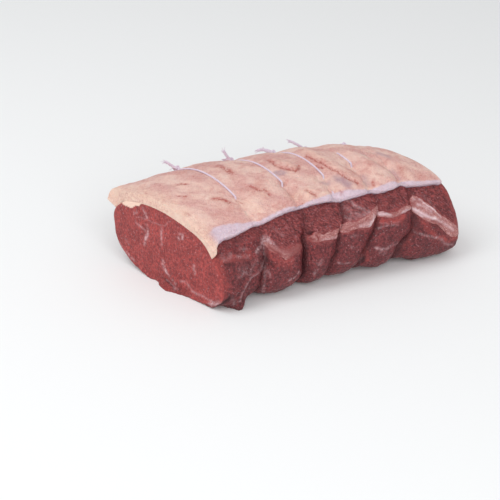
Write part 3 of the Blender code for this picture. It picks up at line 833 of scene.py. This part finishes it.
# How far the front edge hangs below the shoulder, and how far its lilac band reaches back over the
# top: (place, mm) along the joint.
EDGE_DROP = (
    (-86, 8.2), (-81, 5), (-76, 3), (-69, 1.9), (-59, 2.1), (-46, 1.2), (-37, 0.3), (-31, 1.3), (-20, 0.7),
    (-12, 0.3), (2, 0), (9, 0.5), (25, 0.6), (37, 1.8), (46, 1.9), (57, 1.0), (66, -0.3), (72, 1.1),
    (78, 1.1), (86, 0), (97, -4), (104, -1.2), (114, 0.2), (139, 0.4),
)
LILAC_BAND = (
    (-86, 2), (-80, 4.5), (-73, 6.6), (-64, 6.3), (-55, 5), (-47, 3), (-38, 2.2), (-34, 0.3), (-27, 0.8),
    (-20, 1.4), (-8, 1.8), (1, 0.6), (7, 1.8), (15, 1.3), (25, 2.2), (33, 5.4), (42, 3.8), (50, 2.8),
    (58, 1.8), (65, 2.4), (71, 2.2), (79, 3.4), (88, 4.8), (97, 5.8), (104, 4.4), (112, 2.8), (123, 1.8),
    (139, 2.4),
)

FAT_PINK = colour(221, 167, 164)
FAT_PALE = colour(243, 208, 197)
FAT_FLUSH = colour(210, 138, 131)
FAT_LILAC = colour(232, 210, 222)
LILAC_DARK = colour(196, 164, 176)
LILAC_SHADE = colour(162, 132, 150)
FAT_RED = colour(182, 84, 76)
VEIN = colour(148, 118, 142)

# Fat is mottled like soft wax, with a fine broken net of connective threads in it.
soft_mottle, sized, outlet = group("soft_mottle", ("Mottle", "Net", "Height"))
soft = clouds(soft_mottle, sized, None, 4.0, 0.6)
warp = add(soft_mottle, "TexNoise", {"Vector": sized, "Scale": 1.3}, 1)
warped = add(soft_mottle, "VectorMath", {0: sized, 1: warp})
cells = add(soft_mottle, "TexVoronoi", {"Vector": warped, "Scale": 1.2}, feature="DISTANCE_TO_EDGE")
wire(soft_mottle, outlet, {
    "Mottle": between(soft_mottle, soft, 0.3, 0.7, False),
    "Net": times(soft_mottle, between(soft_mottle, cells, 0.0, 0.12), -1.0, 1.0),
    "Height": times(soft_mottle, between(soft_mottle, cells, 0.0, 0.25), 1.0, soft),
})

raw_fat, tree, shader = finish("raw_fat")
where = add(tree, "TexCoord", {}, 3)
wide = between(tree, clouds(tree, where, (30, 13, 13), 4.0, 0.62, (0, 0, -35)), 0.36, 0.64)
flush = between(tree, clouds(tree, where, (13, 9, 9), 4.0, 0.6, (0, 0, 25)), 0.5, 0.68)
bits = between(tree, clouds(tree, where, (2.2, 1.6, 1.6), 4.0, 0.7, (0, 0, -30)), 0.56, 0.68)
smear = between(tree, clouds(tree, where, 1.4, 3.0, 0.65), 0.3, 0.6)
spread = stretched(tree, where, 3.4)
mottle = use(tree, soft_mottle, spread)["Mottle"]
fat = layered(
    tree, mixed(tree, wide, FAT_PINK, FAT_PALE),
    (FAT_FLUSH, flush, 0.6),
    (FAT_CREAM, "cream", 1),
    (FAT_FLUSH, mottle, 0.34),
    (FAT_CREAM, use(tree, soft_mottle, spread, 3.6)["Mottle"], 0.34),
    (FAT_RED, times(tree, use(tree, soft_mottle, spread, 0.55)["Net"], between(tree, wide, 0.9, 0.3)), 0.2),
    (FAT_RED, times(tree, bits, between(tree, wide, 0.8, 0.1)), 0.55),
    (mixed(tree, times(tree, mottle, 0.5), FAT_LILAC, LILAC_DARK), "lilac", 1),
    (LILAC_SHADE, "shade", 1),
    (VEIN, "vein", 1),
    (FAT_RED, times(tree, mask(tree, "red"), smear), 1),
)
wire(tree, shader, {
    "Base Color": fat,
    "Roughness": times(tree, mottle, 0.2, 0.4),
    "Subsurface Weight": 0.15,
    "Subsurface Radius": (1.0, 0.5, 0.35),
    "Subsurface Scale": 0.003,
    "Normal": bump(tree, use(tree, soft_mottle, spread, 1.6)["Height"], 0.7, 0.0007),
})


def fat_line(path):
    """The rim of the cross-section from below the front shoulder to the back edge of the fat."""
    return np.clip(path, -1, 1), 1 - np.maximum(np.abs(path) - 1, 0)


def shown(turn, y):
    """1 where a turn of string shows on top of the fat, and 0 where the fat has closed over it."""
    found = 0
    for start, end in STRING_SHOWS[turn]:
        found = found + ramp(y / MM, start - 1.5, start + 0.5) * (1 - ramp(y / MM, end - 0.5, end + 1.5))
    return found


def fat_body(place, path):
    """The fat's thickness away from the string: thicker behind, with a lip at the cut."""
    lip = hump(path, FAT_LIP_PATH, FAT_LIP_WIDTH) * hump(place, LEFT_CUT, FAT_LIP_LENGTH)
    return FAT_THICKNESS + FAT_BACK_EXTRA * np.clip(path, -1, 1) + FAT_LIP * lip


def back_taper(path):
    """How the fat thins out to its back edge."""
    return 0.3 + 0.7 * np.clip((FAT_BACK_EDGE - path) / 0.3, 0, 1) ** 0.5


def front_end(place):
    """Where the path over the fat starts: on the front edge, just below the shoulder."""
    drop = level(place / MM, EDGE_DROP)
    return -1 - np.where(drop > 0, 2 * drop / along(SHOULDER_HEIGHT, place), drop / PATH_LENGTH)


def fat_shape(u, path, share):
    """The cap: a slab that follows the lean, with a rounded front edge."""
    place = LEFT_CUT + (RIGHT_CUT - LEFT_CUT) * (u + 1) / 2
    start = front_end(place)
    eased = FAT_EASE + (path - FAT_EASE) * (start - FAT_EASE) / (FAT_FRONT_EDGE - FAT_EASE)
    path = np.where(path < FAT_EASE, eased, path)
    shorter = (FAT_BACK_EDGE - FAT_CUT_BACK_EDGE) / (FAT_BACK_EDGE - 1)
    shorter = 1 - shorter * hump(place, LEFT_CUT, FAT_CUT_LENGTH)
    path = np.where(path > 1, 1 + (path - 1) * shorter, path)
    place, length = cut_rounding(u, 1)
    place = place + EAR_PULL * hump(path, FAT_LIP_PATH, EAR_WIDTH) * hump(place, LEFT_CUT, EAR_LENGTH)
    place = np.where(u < -AT_END, place - FAT_CUT_FLUSH, place)
    across, up = fat_line(path)
    y = section(place, across, up)[0] + JOINT_BASE[1]
    tie = np.argmin(np.abs(place[:, None] - np.array(TIES)), axis=1)
    shows = sum((tie == turn) * shown(turn, y) for turn in range(len(TIES)))
    furrow = CLOSED_FURROW + (OPEN_FURROW - CLOSED_FURROW) * shows
    furrow = furrow * (1 - lobe(place) ** CREASE_SHARPNESS)
    body = (fat_body(place, path) - furrow) * back_taper(path)
    inset = np.clip(FAT_EDGE_ROUND - (path - start) * PATH_LENGTH * MM, 0, FAT_EDGE_ROUND)
    drop = FAT_EDGE_ROUND - np.sqrt(np.maximum(FAT_EDGE_ROUND**2 - inset**2, 0))
    raised = (body - drop + FAT_BEDDING) * (share + 1) / 2 - FAT_BEDDING
    raised += fill(place, across, up) * (1 - share) / 2
    return lean_surface(place, across / length, up / length, raised), place, path


rings = rings_along(FAT_RING_STEP)
fat_points, fat_faces = block(rings, FAT_SIDES, FAT_GRIDS)
u, path, share = fat_points.T
spread_path = FAT_FRONT_EDGE + (FAT_BACK_EDGE - FAT_FRONT_EDGE) * (path + 1) / 2
base, place, path = fat_shape(u, spread_path, share)
spot = base / MM
top_spots = shaken(spot[:, :2], base, 71)
outer = (share > AT_END).astype(float) * (np.abs(u) < AT_END)
on_cut = (u < -AT_END).astype(float)
edge_face = (spread_path < FAT_FRONT_EDGE + 0.001).astype(float)
from_front = (path + 1) * PATH_LENGTH

# What the top of the fat shows, as lines of (x, y) in mm seen from above, each with its width in
# mm and how strong it is.
RED_MARKS = (
    (((-92, 18.5), (-88, 17), (-86, 15.5)), 1.0, 1.0), (((-93, 19), (-89, 18), (-84, 14)), 0.7, 0.6),
    (((-98, 5), (-94, 2.5), (-92, 1)), 0.8, 0.9), (((-51, 30), (-49, 22), (-47, 16)), 3.2, 0.75),
    (((-48, 20), (-46, 15)), 1.6, 0.6), (((-72, -9), (-67, -11), (-62, -16)), 2.2, 0.75),
    (((-67, -11), (-64, -14)), 1.2, 0.6), (((-55, -16), (-53, -17), (-50, -19)), 1.2, 0.5),
    (((-99, -17), (-97, -19)), 1.6, 0.5), (((62, -29), (62, -32)), 1.2, 0.7),
    (((68, -24), (72, -27)), 1.2, 0.4), (((93, -20), (93, -29)), 2.2, 0.35),
    (((30, -31), (31, -33)), 1.2, 0.5), (((-46, -8), (-40, -13)), 4.0, 0.25),
    (((-9, -24), (-4, -29)), 2.5, 0.25),
)
CRACKS = (
    ((-39, -7), (-36, -12), (-34, -14), (-29, -14), (-28, -21)),
    ((-10, 24), (-8, 10), (-3, 3), (3, -3), (8, -1), (10, 4)),
    ((23, 16), (24, 10), (29, -1), (32, -8), (36, -14), (38, -20), (42, -26), (47, -30)),
    ((24, -1), (27, -5)), ((2, -26), (8, -33)),
)
VALLEYS = (
    (((-52, -10), (-50, -16), (-48, -23), (-47, -29), (-46, -36)), 3.5, 1.3),
    (((-13, -11), (-9, -17), (-8, -24), (-6, -31), (-6, -36)), 4.5, 1.8),
    (((19, -17), (22, -20), (24, -24), (24, -28), (27, -36)), 4.5, 1.6), (((23, -28), (25, -37)), 2.0, 1.1),
    (((52, -9), (58, -19), (58, -27), (57, -36)), 4.5, 2.0),
    (((73, 5), (78, -8), (87, -18), (88, -27), (88, -36)), 4.5, 2.0),
)
PILLOWS = (
    (((26, 25), (29, 10), (36, -5), (41, -17), (47, -26)), 6.0, 1.9),
    (((60, 10), (62, -1), (68, -13), (73, -23), (77, -30)), 7.0, 1.5),
    (((82, 2), (88, -8), (95, -18), (97, -28)), 7.0, 1.3), (((-6, 19), (-1, 10), (4, 1)), 4.5, 1.7),
    (((-2, -27), (6, -29), (16, -33)), 6.0, 1.3), (((-41, -31), (-32, -30), (-20, -28)), 7.0, 0.9),
    (((-90, -20), (-80, -26), (-66, -28)), 9.0, 0.8),
)
# Cream on the crests of the pillows: partly the fat's own cream and partly painted highlight.
CREAM_AND_HIGHLIGHT_SPOTS = (
    (((-49, -20), (-45, -25), (-41, -31)), 4.0, 0.8), (((-7, -26), (-1, -27), (2, -32)), 4.5, 0.8),
    (((-38, -16), (-33, -19)), 4.0, 0.5), (((-6, 19), (-1, 10), (4, 1)), 3.0, 0.5),
    (((26, 25), (29, 10), (36, -5), (41, -17), (47, -26)), 3.0, 0.6), (((95, -24), (97, -30)), 4.0, 0.6),
)
BLUE_VEINS = (
    (((-13, 4), (-7, 2), (-5, -1)), 1.6, 0.45), (((-12, 1), (-8, -2)), 2.0, 0.5),
    (((33, -21), (36, -24), (39, -29)), 3.6, 0.6), (((19, -20), (25, -20)), 2.2, 0.35),
    (((84, 2), (90, -5)), 2.4, 0.4), (((86, -19), (88, -27)), 2.5, 0.3), (((57, -20), (58, -28)), 2.5, 0.3),
)


# The relief in mm: pillows of fat with valleys and cracks between them, and a wavy front edge.
lift = 0.55 * rough(base, 16, 11) + 0.55 * rough(base, 6, 12) + 0.25 * rough(base, 2.5, 15)
lift += 1.25 * marked(top_spots, PILLOWS) - 1.1 * marked(top_spots, VALLEYS)
cracks = traced(top_spots, CRACKS, 0.8)
lift -= 1.4 * np.minimum(cracks, 1) + 0.4 * marked(top_spots, RED_MARKS[:3])
lift += 0.1 * rough(base, 1.6, 13)
edge_wave = edge_face * (0.35 * rough(base, (7, 3, 3), 14) + 0.25 * rough(base, 2.5, 16))
fat_skin = base + facing(base, fat_faces) * ((lift * outer + edge_wave) * MM)[:, None]
fat_cap = piece("roast_fat_cap", fat_skin, fat_faces, "fat_cap", raw_fat)
band = level(place / MM, LILAC_BAND) + 0.6 * rough(base, 4, 17)
lilac = np.maximum(edge_face, outer * (1 - ramp(from_front - band, -0.6, 1.2)))
cream = outer * 0.75 * (1 - ramp((place - LEFT_CUT) / MM + 2 * rough(base, 6, 18), 2, 14))
# Painted shade on the lower part of the front edge, deeper towards the right end of the joint.
shade = edge_face * (0.35 + 0.5 * ramp(place / MM, -20, 10))
# The cream mask takes in the cut faces, the creamy left end and the cream spots, which are partly painted
# highlight.
paint(
    fat_cap,
    red=(1.2 * marked(top_spots, RED_MARKS) + 0.8 * cracks + 0.25 * traced(top_spots, CRACKS, 2.6)) * outer,
    cream=np.maximum(on_cut, cream + 0.7 * marked(top_spots, CREAM_AND_HIGHLIGHT_SPOTS) * outer),
    lilac=lilac * ramp((place - LEFT_CUT) / MM, 3, 12),
    shade=shade * ramp(-(share + 0.3 * rough(base, 5, 19)), -0.8, 0.4),
    vein=marked(top_spots, BLUE_VEINS) * outer,
)

# Between two muscles runs a seam of paler fat, which the string has pinched into five pads, one
# in the front of each lobe but the first. Each pad lies in the meat with its edges feathered out.
SEAM_DEPTH = 2.4 * MM
SEAM_PROUD = 0.4 * MM
SEAM_FEATHER = 0.9 * MM
# How far past its marks a pad reaches below and above, and how far its edges waver, in mm.
SEAM_LOWER = 1.0
SEAM_HIGHER = 0.8
SEAM_WAVER = 1.3
STRANDS_ALONG = 7.0
STRANDS_ACROSS = 9.0
SEAM_RINGS = 90
SEAM_SIDES = (3, 26, 3, 8)
SEAM_GRIDS = ((12, 3), (12, 3))
SEAM_PINK = colour(160, 98, 96)
SEAM_PALE = colour(204, 150, 146)
SEAM_RED = colour(136, 62, 62)
SEAM_WHITE = colour(232, 206, 212)
PAD_WHITES = (
    (((94, 48), (98, 46), (105, 42), (112, 39)), 1.2, 0.9), (((95, 45.5), (101, 42)), 0.8, 0.6),
    (((112, 39), (120, 34), (128, 27)), 1.4, 0.4), (((96, 55), (102, 53), (107, 49), (114, 44)), 0.7, 0.5),
    (((104, 51), (111, 46), (118, 39)), 0.6, 0.4), (((98, 51), (103, 49), (109, 44.5)), 1.4, 0.35),
    (((40, 46), (48, 46), (57, 48)), 1.6, 0.35), (((49, 44), (52, 46), (55, 50)), 1.2, 0.6),
    (((61, 50), (66, 49.5), (70, 49.3)), 1.2, 0.8), (((80, 49), (86, 50), (92, 49.5)), 0.9, 0.5),
    (((5, 41.5), (12, 41.5), (19, 41)), 1.0, 0.25),
    (((-36, 41), (-31, 38), (-24, 37), (-14, 38)), 1.5, 0.15),
)
PAD_REDS_AND_SHADE = (
    (((0.5, 45), (1.5, 43.5), (1, 41.5)), 0.8, 0.9), (((-5, 43.5), (-2, 42.5)), 0.9, 0.6),
    (((28, 44), (33, 46.5), (38, 47)), 0.8, 0.5), (((36, 48), (42, 47.5), (47, 49)), 0.8, 0.4),
    (((93, 50), (96, 53.5), (100, 54)), 1.6, 0.6), (((109, 37.5), (114, 35.5), (118, 32.5)), 1.2, 0.6),
    (((-41, 42), (-38, 39.5), (-34, 36.5)), 1.6, 0.7), (((66, 50.5), (72, 50), (77, 51)), 0.7, 0.5),
    # This broad mark is painted shade that darkens the pad in the second lobe.
    (((-31, 43), (-22, 37), (-8, 40)), 6.0, 0.85),
)

seam_fat, tree, shader = finish("seam_fat")
where = add(tree, "TexCoord", {}, 3)
lengthwise = times(tree, mask(tree, "along"), STRANDS_ALONG)
flow = add(tree, "CombineXYZ", {0: lengthwise, 1: times(tree, mask(tree, "side"), STRANDS_ACROSS)})
strands = clouds(tree, flow, None, 3.0, 0.6)
grain = clouds(tree, where, 1.1, 3.0, 0.6)
seam = layered(
    tree, mixed(tree, between(tree, strands, 0.36, 0.66, False), SEAM_PINK, SEAM_PALE),
    (SEAM_PINK, between(tree, clouds(tree, where, 6, 3.0), 0.42, 0.7), 0.6),
    (SEAM_RED, between(tree, grain, 0.45, 0.62), 0.5),
    (SEAM_WHITE, between(tree, grain, 0.45, 0.3), 0.35),
    (SEAM_WHITE, "white", 1),
    (SEAM_RED, "red", 1),
    (SIDE_RED, "rim", 1),
)
wire(tree, shader, {
    "Base Color": seam,
    "Roughness": times(tree, strands, 0.3, 0.35),
    "Specular IOR Level": 0.35,
    "Subsurface Weight": 0.1,
    "Subsurface Scale": 0.002,
    "Normal": bump(tree, times(tree, grain, 0.5, strands), 0.9, 0.0008),
})


def seam_shape(pad, points, seed):
    """A pad of seam fat: a strip along the front, with wavering and feathered edges."""
    u, side, depth = points.T
    places, low, high = np.array(pad, dtype=float).T
    place = places[0] + (places[-1] - places[0]) * (u + 1) / 2
    waver = rough(np.stack([place, 8 * np.sign(side), 0 * u], axis=-1) * MM, 2.6, seed) * np.abs(side) ** 2
    height = (np.interp(place, places, low) - SEAM_LOWER) * (1 - side) / 2
    height += (np.interp(place, places, high) + SEAM_HIGHER) * (1 + side) / 2
    up = 2 * (height + SEAM_WAVER * waver) / along(SHOULDER_HEIGHT, place * MM) - 1
    feather = np.maximum(np.abs(side), np.abs(u) ** 8) ** 3
    top = SEAM_PROUD - SEAM_FEATHER * feather
    raised = top - (SEAM_DEPTH + top) * (1 - depth) / 2
    return lean_surface(place * MM, 0 * u - 1, up, raised), feather


for number, pad in enumerate(SEAM_PADS):
    points, faces = block(np.linspace(-1, 1, SEAM_RINGS), SEAM_SIDES, SEAM_GRIDS)
    skin, feather = seam_shape(pad, points, 51 + number)
    outer = (points[:, 2] > AT_END).astype(float)
    spots = shaken(skin[:, (0, 2)] / MM, skin, 81)
    swell = 0.3 * rough(skin, (6, 2, 1.4), 21 + number) + 0.2 * rough(skin, 1.6, 31)
    swell += 0.6 * marked(spots, PAD_WHITES) - 0.7 * marked(spots, PAD_REDS_AND_SHADE)
    skin += facing(skin, faces) * (swell * outer * MM)[:, None]
    made = piece(f"roast_seam_fat_{number + 2}", skin, faces, f"seam_fat_{number + 2}", seam_fat)
    paint(
        made,
        rim=0.8 * ramp(feather + 0.2 * rough(skin, 1.8, 32), 0.6, 1.0),
        white=marked(spots, PAD_WHITES) * (0.8 + 0.4 * rough(skin, 2, 33)),
        red=marked(spots, PAD_REDS_AND_SHADE),
        along=(points[:, 0] + 1) / 2,
        side=(points[:, 1] + 1) / 2,
    )

# Five turns of white butcher's string hold the joint together. Each turn is three twisted plies
# drawn tight round the meat and knotted on top behind the crest, with two short frayed tails.
STRING_RADIUS = 0.8 * MM
STRING_GAP = 0.7 * MM
# The taut path lies in a furrow this deep in the fat, just clear of its floor.
FAT_FURROW = 2 * MM
FAT_GAP = 0.4 * MM
LOOP_POINTS = 200
KNOT_REACH = (48 * MM, 48 * MM, 46 * MM, 46 * MM, 34 * MM)
KNOT_RADIUS = 3.3 * MM
PLY_RADIUS = 0.46 * MM
PLY_OFFSET = 0.48 * MM
PLY_STEP = 0.9 * MM
TWIST_LENGTH = 4.5 * MM
TAIL_THICKNESS = 1.45
FRAYS = 16
FRAY_RADII = np.linspace(0.34, 0.12, 4) * MM
STRING_WHITE = colour(238, 228, 240)
STRING_SHADE = colour(206, 184, 204)
STRING_STAIN = colour(222, 170, 176)
# Each turn is drawn in below its taut path on the front of the meat, and sunk where the fat has
# closed over it.
DRAWN_IN = (4 * MM, 4 * MM, 2 * MM, 4 * MM, 4 * MM)
DRAWN_FROM = 28 * MM
DRAWN_FULLY = 41 * MM
SUNK_IN = 4.5 * MM

butchers_string, tree, shader = finish("butchers_string")
where = add(tree, "TexCoord", {}, 3)
fibres = clouds(tree, where, 0.5, 2.0, 0.7)
twine = mixed(tree, between(tree, fibres, 0.3, 0.7, False), STRING_SHADE, STRING_WHITE)
wire(tree, shader, {
    "Base Color": layered(tree, twine, (STRING_STAIN, between(tree, clouds(tree, where, 8), 0.5, 0.8), 0.35)),
    "Roughness": 0.8,
    "Sheen Weight": 0.2,
    "Normal": bump(tree, fibres, 0.4, 0.0002),
})


def hull(points):
    """The shortest loop round a set of (y, z) points, as a taut string takes."""
    points = sorted(map(tuple, points))

    def bend(a, b, c):
        return (b[0] - a[0]) * (c[1] - a[1]) - (b[1] - a[1]) * (c[0] - a[0])

    def chain(row):
        kept = []
        for p in row:
            while len(kept) > 1 and bend(kept[-2], kept[-1], p) <= 0:
                kept.pop()
            kept.append(p)
        return kept[:-1]

    return np.array(chain(points) + chain(reversed(points)))


def evenly(row, count, closed=True):
    """The same loop or open row, with its points evenly spaced."""
    if closed:
        row = np.vstack([row, row[:1]])
    travelled = np.concatenate([[0], np.cumsum(np.linalg.norm(np.diff(row, axis=0), axis=1))])
    places = np.linspace(0, travelled[-1], count, endpoint=not closed)
    return np.stack([np.interp(places, travelled, column) for column in row.T], axis=-1)


def under_string(tie, across, up, raised):
    """Y and Z of the surface that a turn of string presses on."""
    front, rest = pinch(across, up)
    return np.stack(lifted(tie, across, up, raised - front - rest), axis=-1)


def string_loop(tie):
    """Y and Z of the string's path round the joint: taut over the fat and the lean."""
    across, up = rim(np.linspace(0, 2 * math.pi, 160, endpoint=False))
    over_lean = under_string(tie + 0 * across, across, up, 0)
    path = np.linspace(-1, FAT_BACK_EDGE, 80)
    thick = FAT_GAP + (fat_body(tie + 0 * path, path) - FAT_FURROW) * back_taper(path)
    over_fat = under_string(tie + 0 * path, *fat_line(path), thick)
    loop = evenly(hull(np.vstack([over_lean, over_fat])), LOOP_POINTS)
    ahead = np.roll(loop, -1, axis=0) - np.roll(loop, 1, axis=0)
    out = np.stack([ahead[:, 1], -ahead[:, 0]], axis=-1) / np.linalg.norm(ahead, axis=1)[:, None]
    return evenly(loop + out * (STRING_RADIUS + STRING_GAP), LOOP_POINTS)


def square_to(points, closed):
    """Two directions at each point of a row, square to it and to each other."""
    if closed:
        ahead = np.roll(points, -1, axis=0) - np.roll(points, 1, axis=0)
    else:
        ahead = np.gradient(points, axis=0)
    ahead /= np.linalg.norm(ahead, axis=1)[:, None]
    side = np.cross(ahead, (0.31, 0.17, 0.93))
    side /= np.linalg.norm(side, axis=1)[:, None]
    return side, np.cross(side, ahead)


def tube(points, radius, sides, closed):
    """Points and faces of a tube along a row of points, with closed ends where it isn't a loop."""
    side, over = square_to(points, closed)
    turns = np.linspace(0, 2 * math.pi, sides, endpoint=False)
    ring = side[:, None] * np.cos(turns)[None, :, None] + over[:, None] * np.sin(turns)[None, :, None]
    made = points[:, None] + ring * np.broadcast_to(radius, len(points))[:, None, None]
    ids = np.arange(len(points) * sides).reshape(len(points), sides)
    first, second = (ids, np.roll(ids, -1, axis=0)) if closed else (ids[:-1], ids[1:])
    quads = np.stack([first, second, np.roll(second, -1, axis=1), np.roll(first, -1, axis=1)], axis=-1)
    faces = quads.reshape(-1, 4).tolist()
    if not closed:
        faces += [ids[0].tolist(), ids[-1][::-1].tolist()]
    return made.reshape(-1, 3), faces


def joined(shapes):
    """Several meshes as one."""
    points = []
    faces = []
    total = 0
    for shape_points, shape_faces in shapes:
        faces += [[i + total for i in face] for face in shape_faces]
        points.append(shape_points)
        total += len(shape_points)
    return np.vstack(points), faces


def twisted(route, closed, thickness=1.0):
    """Three plies twisted round a route."""
    length = np.linalg.norm(np.diff(route, axis=0), axis=1).sum()
    count = max(int(length / PLY_STEP), 8)
    row = evenly(route, count, closed)
    side, over = square_to(row, closed)
    angle = np.linspace(0, 2 * math.pi * round(length / TWIST_LENGTH), count, endpoint=not closed)
    plies = []
    for ply in range(3):
        swing = angle + ply * 2 * math.pi / 3
        offset = side * np.cos(swing)[:, None] + over * np.sin(swing)[:, None]
        plies.append(tube(row + offset * PLY_OFFSET * thickness, PLY_RADIUS * thickness, 6, closed))
    return joined(plies)


def knot_shape(middle):
    """A small hard knot: a cord wound over and under itself."""
    t = np.linspace(0, 2 * math.pi, 60, endpoint=False)
    wind = [np.sin(t) + 2 * np.sin(2 * t), np.cos(t) - 2 * np.cos(2 * t), -1.4 * np.sin(3 * t)]
    return tube(middle + np.stack(wind, axis=-1) * KNOT_RADIUS * 0.3, PLY_RADIUS * 1.6, 7, True)


def tail_shape(knot, way, length, curl, seed):
    """A cut end that stands off the knot, curls over and frays at its tip."""
    t = np.linspace(0, 1, 12)[:, None]
    route = knot + np.array(way) * length * t + np.array(curl) * length * t**2
    shapes = [twisted(route, False, TAIL_THICKNESS)]
    spread = np.random.default_rng(seed)
    heading = route[-1] - route[-2]
    heading /= np.linalg.norm(heading)
    for _ in range(FRAYS):
        aim = heading + spread.normal(0, 0.5, 3)
        size = spread.uniform(1.5, 3.6) * MM
        droop = np.array((0, 0, -0.3 * size))
        s = np.linspace(0, 1, 4)[:, None]
        shapes.append(tube(route[-2] + aim * size * s + droop * s**2, FRAY_RADII, 4, False))
    return joined(shapes)


# Each tail's direction, length and curl, for the long and the short end of each turn.
TAILS = (
    (((-0.75, 0.3, 0.5), 12, (0, 0, 0.05)), ((-0.2, 0.5, 0.2), 6, (0, 0, -0.2))),
    (((-0.7, 0.25, 0.8), 10, (0.1, 0, 0.1)), ((-0.8, 0.2, 0.35), 7, (0.2, 0, -0.2))),
    (((-0.8, 0.3, 0.75), 12, (-0.3, 0, -0.5)), ((-0.9, 0.2, 0.3), 10, (0, 0, 0.1))),
    (((-0.8, 0.3, 0.6), 16, (0, 0, -0.1)), ((0.2, 0.5, 0.1), 6, (0, 0, -0.2))),
    (((-0.1, 0.7, -0.4), 6, (0, 0, -0.2)), ((0.2, 0.5, 0.1), 5, (0, 0, -0.2))),
)
for number, (tie, tails) in enumerate(zip(TIES, TAILS), start=1):
    loop = string_loop(tie)
    buried = ramp(-loop[:, 0], DRAWN_FROM, DRAWN_FULLY) * ramp(loop[:, 1], 4 * MM, 10 * MM)
    loop = loop + DRAWN_IN[number - 1] * np.stack([buried, -0.5 * buried], axis=-1)
    sunk = 1 - shown(number - 1, loop[:, 0] + JOINT_BASE[1])
    loop[:, 1] -= SUNK_IN * sunk * ramp(loop[:, 1], 45 * MM, 55 * MM)
    route = in_space(tie + 0 * loop[:, 0], loop[:, 0], loop[:, 1])
    upper = route[loop[:, 1] > 40 * MM]
    reach = KNOT_REACH[number - 1] + JOINT_BASE[1]
    knot = upper[np.argmin(np.abs(upper[:, 1] - reach))] + (0, 0, 0.5 * KNOT_RADIUS)
    shapes = [twisted(route, True), knot_shape(knot)]
    for end, (way, length, curl) in enumerate(tails):
        shapes.append(tail_shape(knot, way, length * MM, curl, 10 * number + end))
    points, faces = joined(shapes)
    piece(f"roast_string_{number}", points, faces, f"string_{number}", butchers_string)

# The stage: a plain pale floor, a soft white room, and two soft lights, one from the upper left and
# a wider one from the front.
FLOOR_SIZE = 12.0
FLOOR_WHITE = (0.9, 0.912, 0.92)
ROOM_LIGHT = 0.62
half = FLOOR_SIZE / 2
corners = [(-half, -half, 0), (half, -half, 0), (half, half, 0), (-half, half, 0)]
floor = in_scene("floor", mesh_of("floor", corners, [(0, 1, 2, 3)]))
floor_paint, tree, shader = finish("floor_paint")
wire(tree, shader, {"Base Color": FLOOR_WHITE, "Roughness": 0.7})
floor.data.materials.append(floor_paint)

room = bpy.data.worlds.new("room")
room.use_nodes = True
wire(room.node_tree, room.node_tree.nodes["Background"], {"Color": (1, 1, 1), "Strength": ROOM_LIGHT})
bpy.context.scene.world = room


def soft_light(name, at, towards, size, watts):
    """A square soft light that points at a place."""
    lamp = bpy.data.lights.new(name, "AREA")
    lamp.size = size
    lamp.energy = watts
    made = in_scene(name, lamp)
    made.location = at
    way = np.array(towards) - np.array(at)
    yaw = math.atan2(way[0], -way[1])
    tilt = math.atan2(math.hypot(way[0], way[1]), -way[2])
    made.rotation_euler = (tilt, 0, yaw + math.pi)


soft_light("key", (-0.9, 0.1, 1.3), (0, 0, 0.03), 0.9, 7.5)
soft_light("front", (-0.25, -1.4, 1.05), (0, 0, 0.02), 1.3, 11)

# The camera stands to the left in front of the joint and looks down on it from the angle of the
# photograph, with a long lens and a slight roll.
CAMERA_PLACE = (-0.4373, -0.8469, 0.5680)
CAMERA_YAW = math.radians(25.49)
CAMERA_PITCH = math.radians(30.78)
CAMERA_ROLL = math.radians(2.58)
lens = bpy.data.cameras.new("camera")
lens.lens = 93.48
lens.sensor_width = 36
camera = in_scene("camera", lens)
heading = np.array((math.sin(CAMERA_YAW), math.cos(CAMERA_YAW), 0))
ahead = heading * math.cos(CAMERA_PITCH) - (0, 0, math.sin(CAMERA_PITCH))
sideways = np.cross(heading, (0, 0, 1))
over = np.cross(sideways, ahead)
stand = np.eye(4)
stand[:3, 0] = math.cos(CAMERA_ROLL) * sideways + math.sin(CAMERA_ROLL) * over
stand[:3, 1] = math.cos(CAMERA_ROLL) * over - math.sin(CAMERA_ROLL) * sideways
stand[:3, 2] = -ahead
stand[:3, 3] = CAMERA_PLACE
camera.matrix_world = Matrix(stand.tolist())
bpy.context.scene.camera = camera
bpy.context.scene.view_settings.view_transform = "Standard"
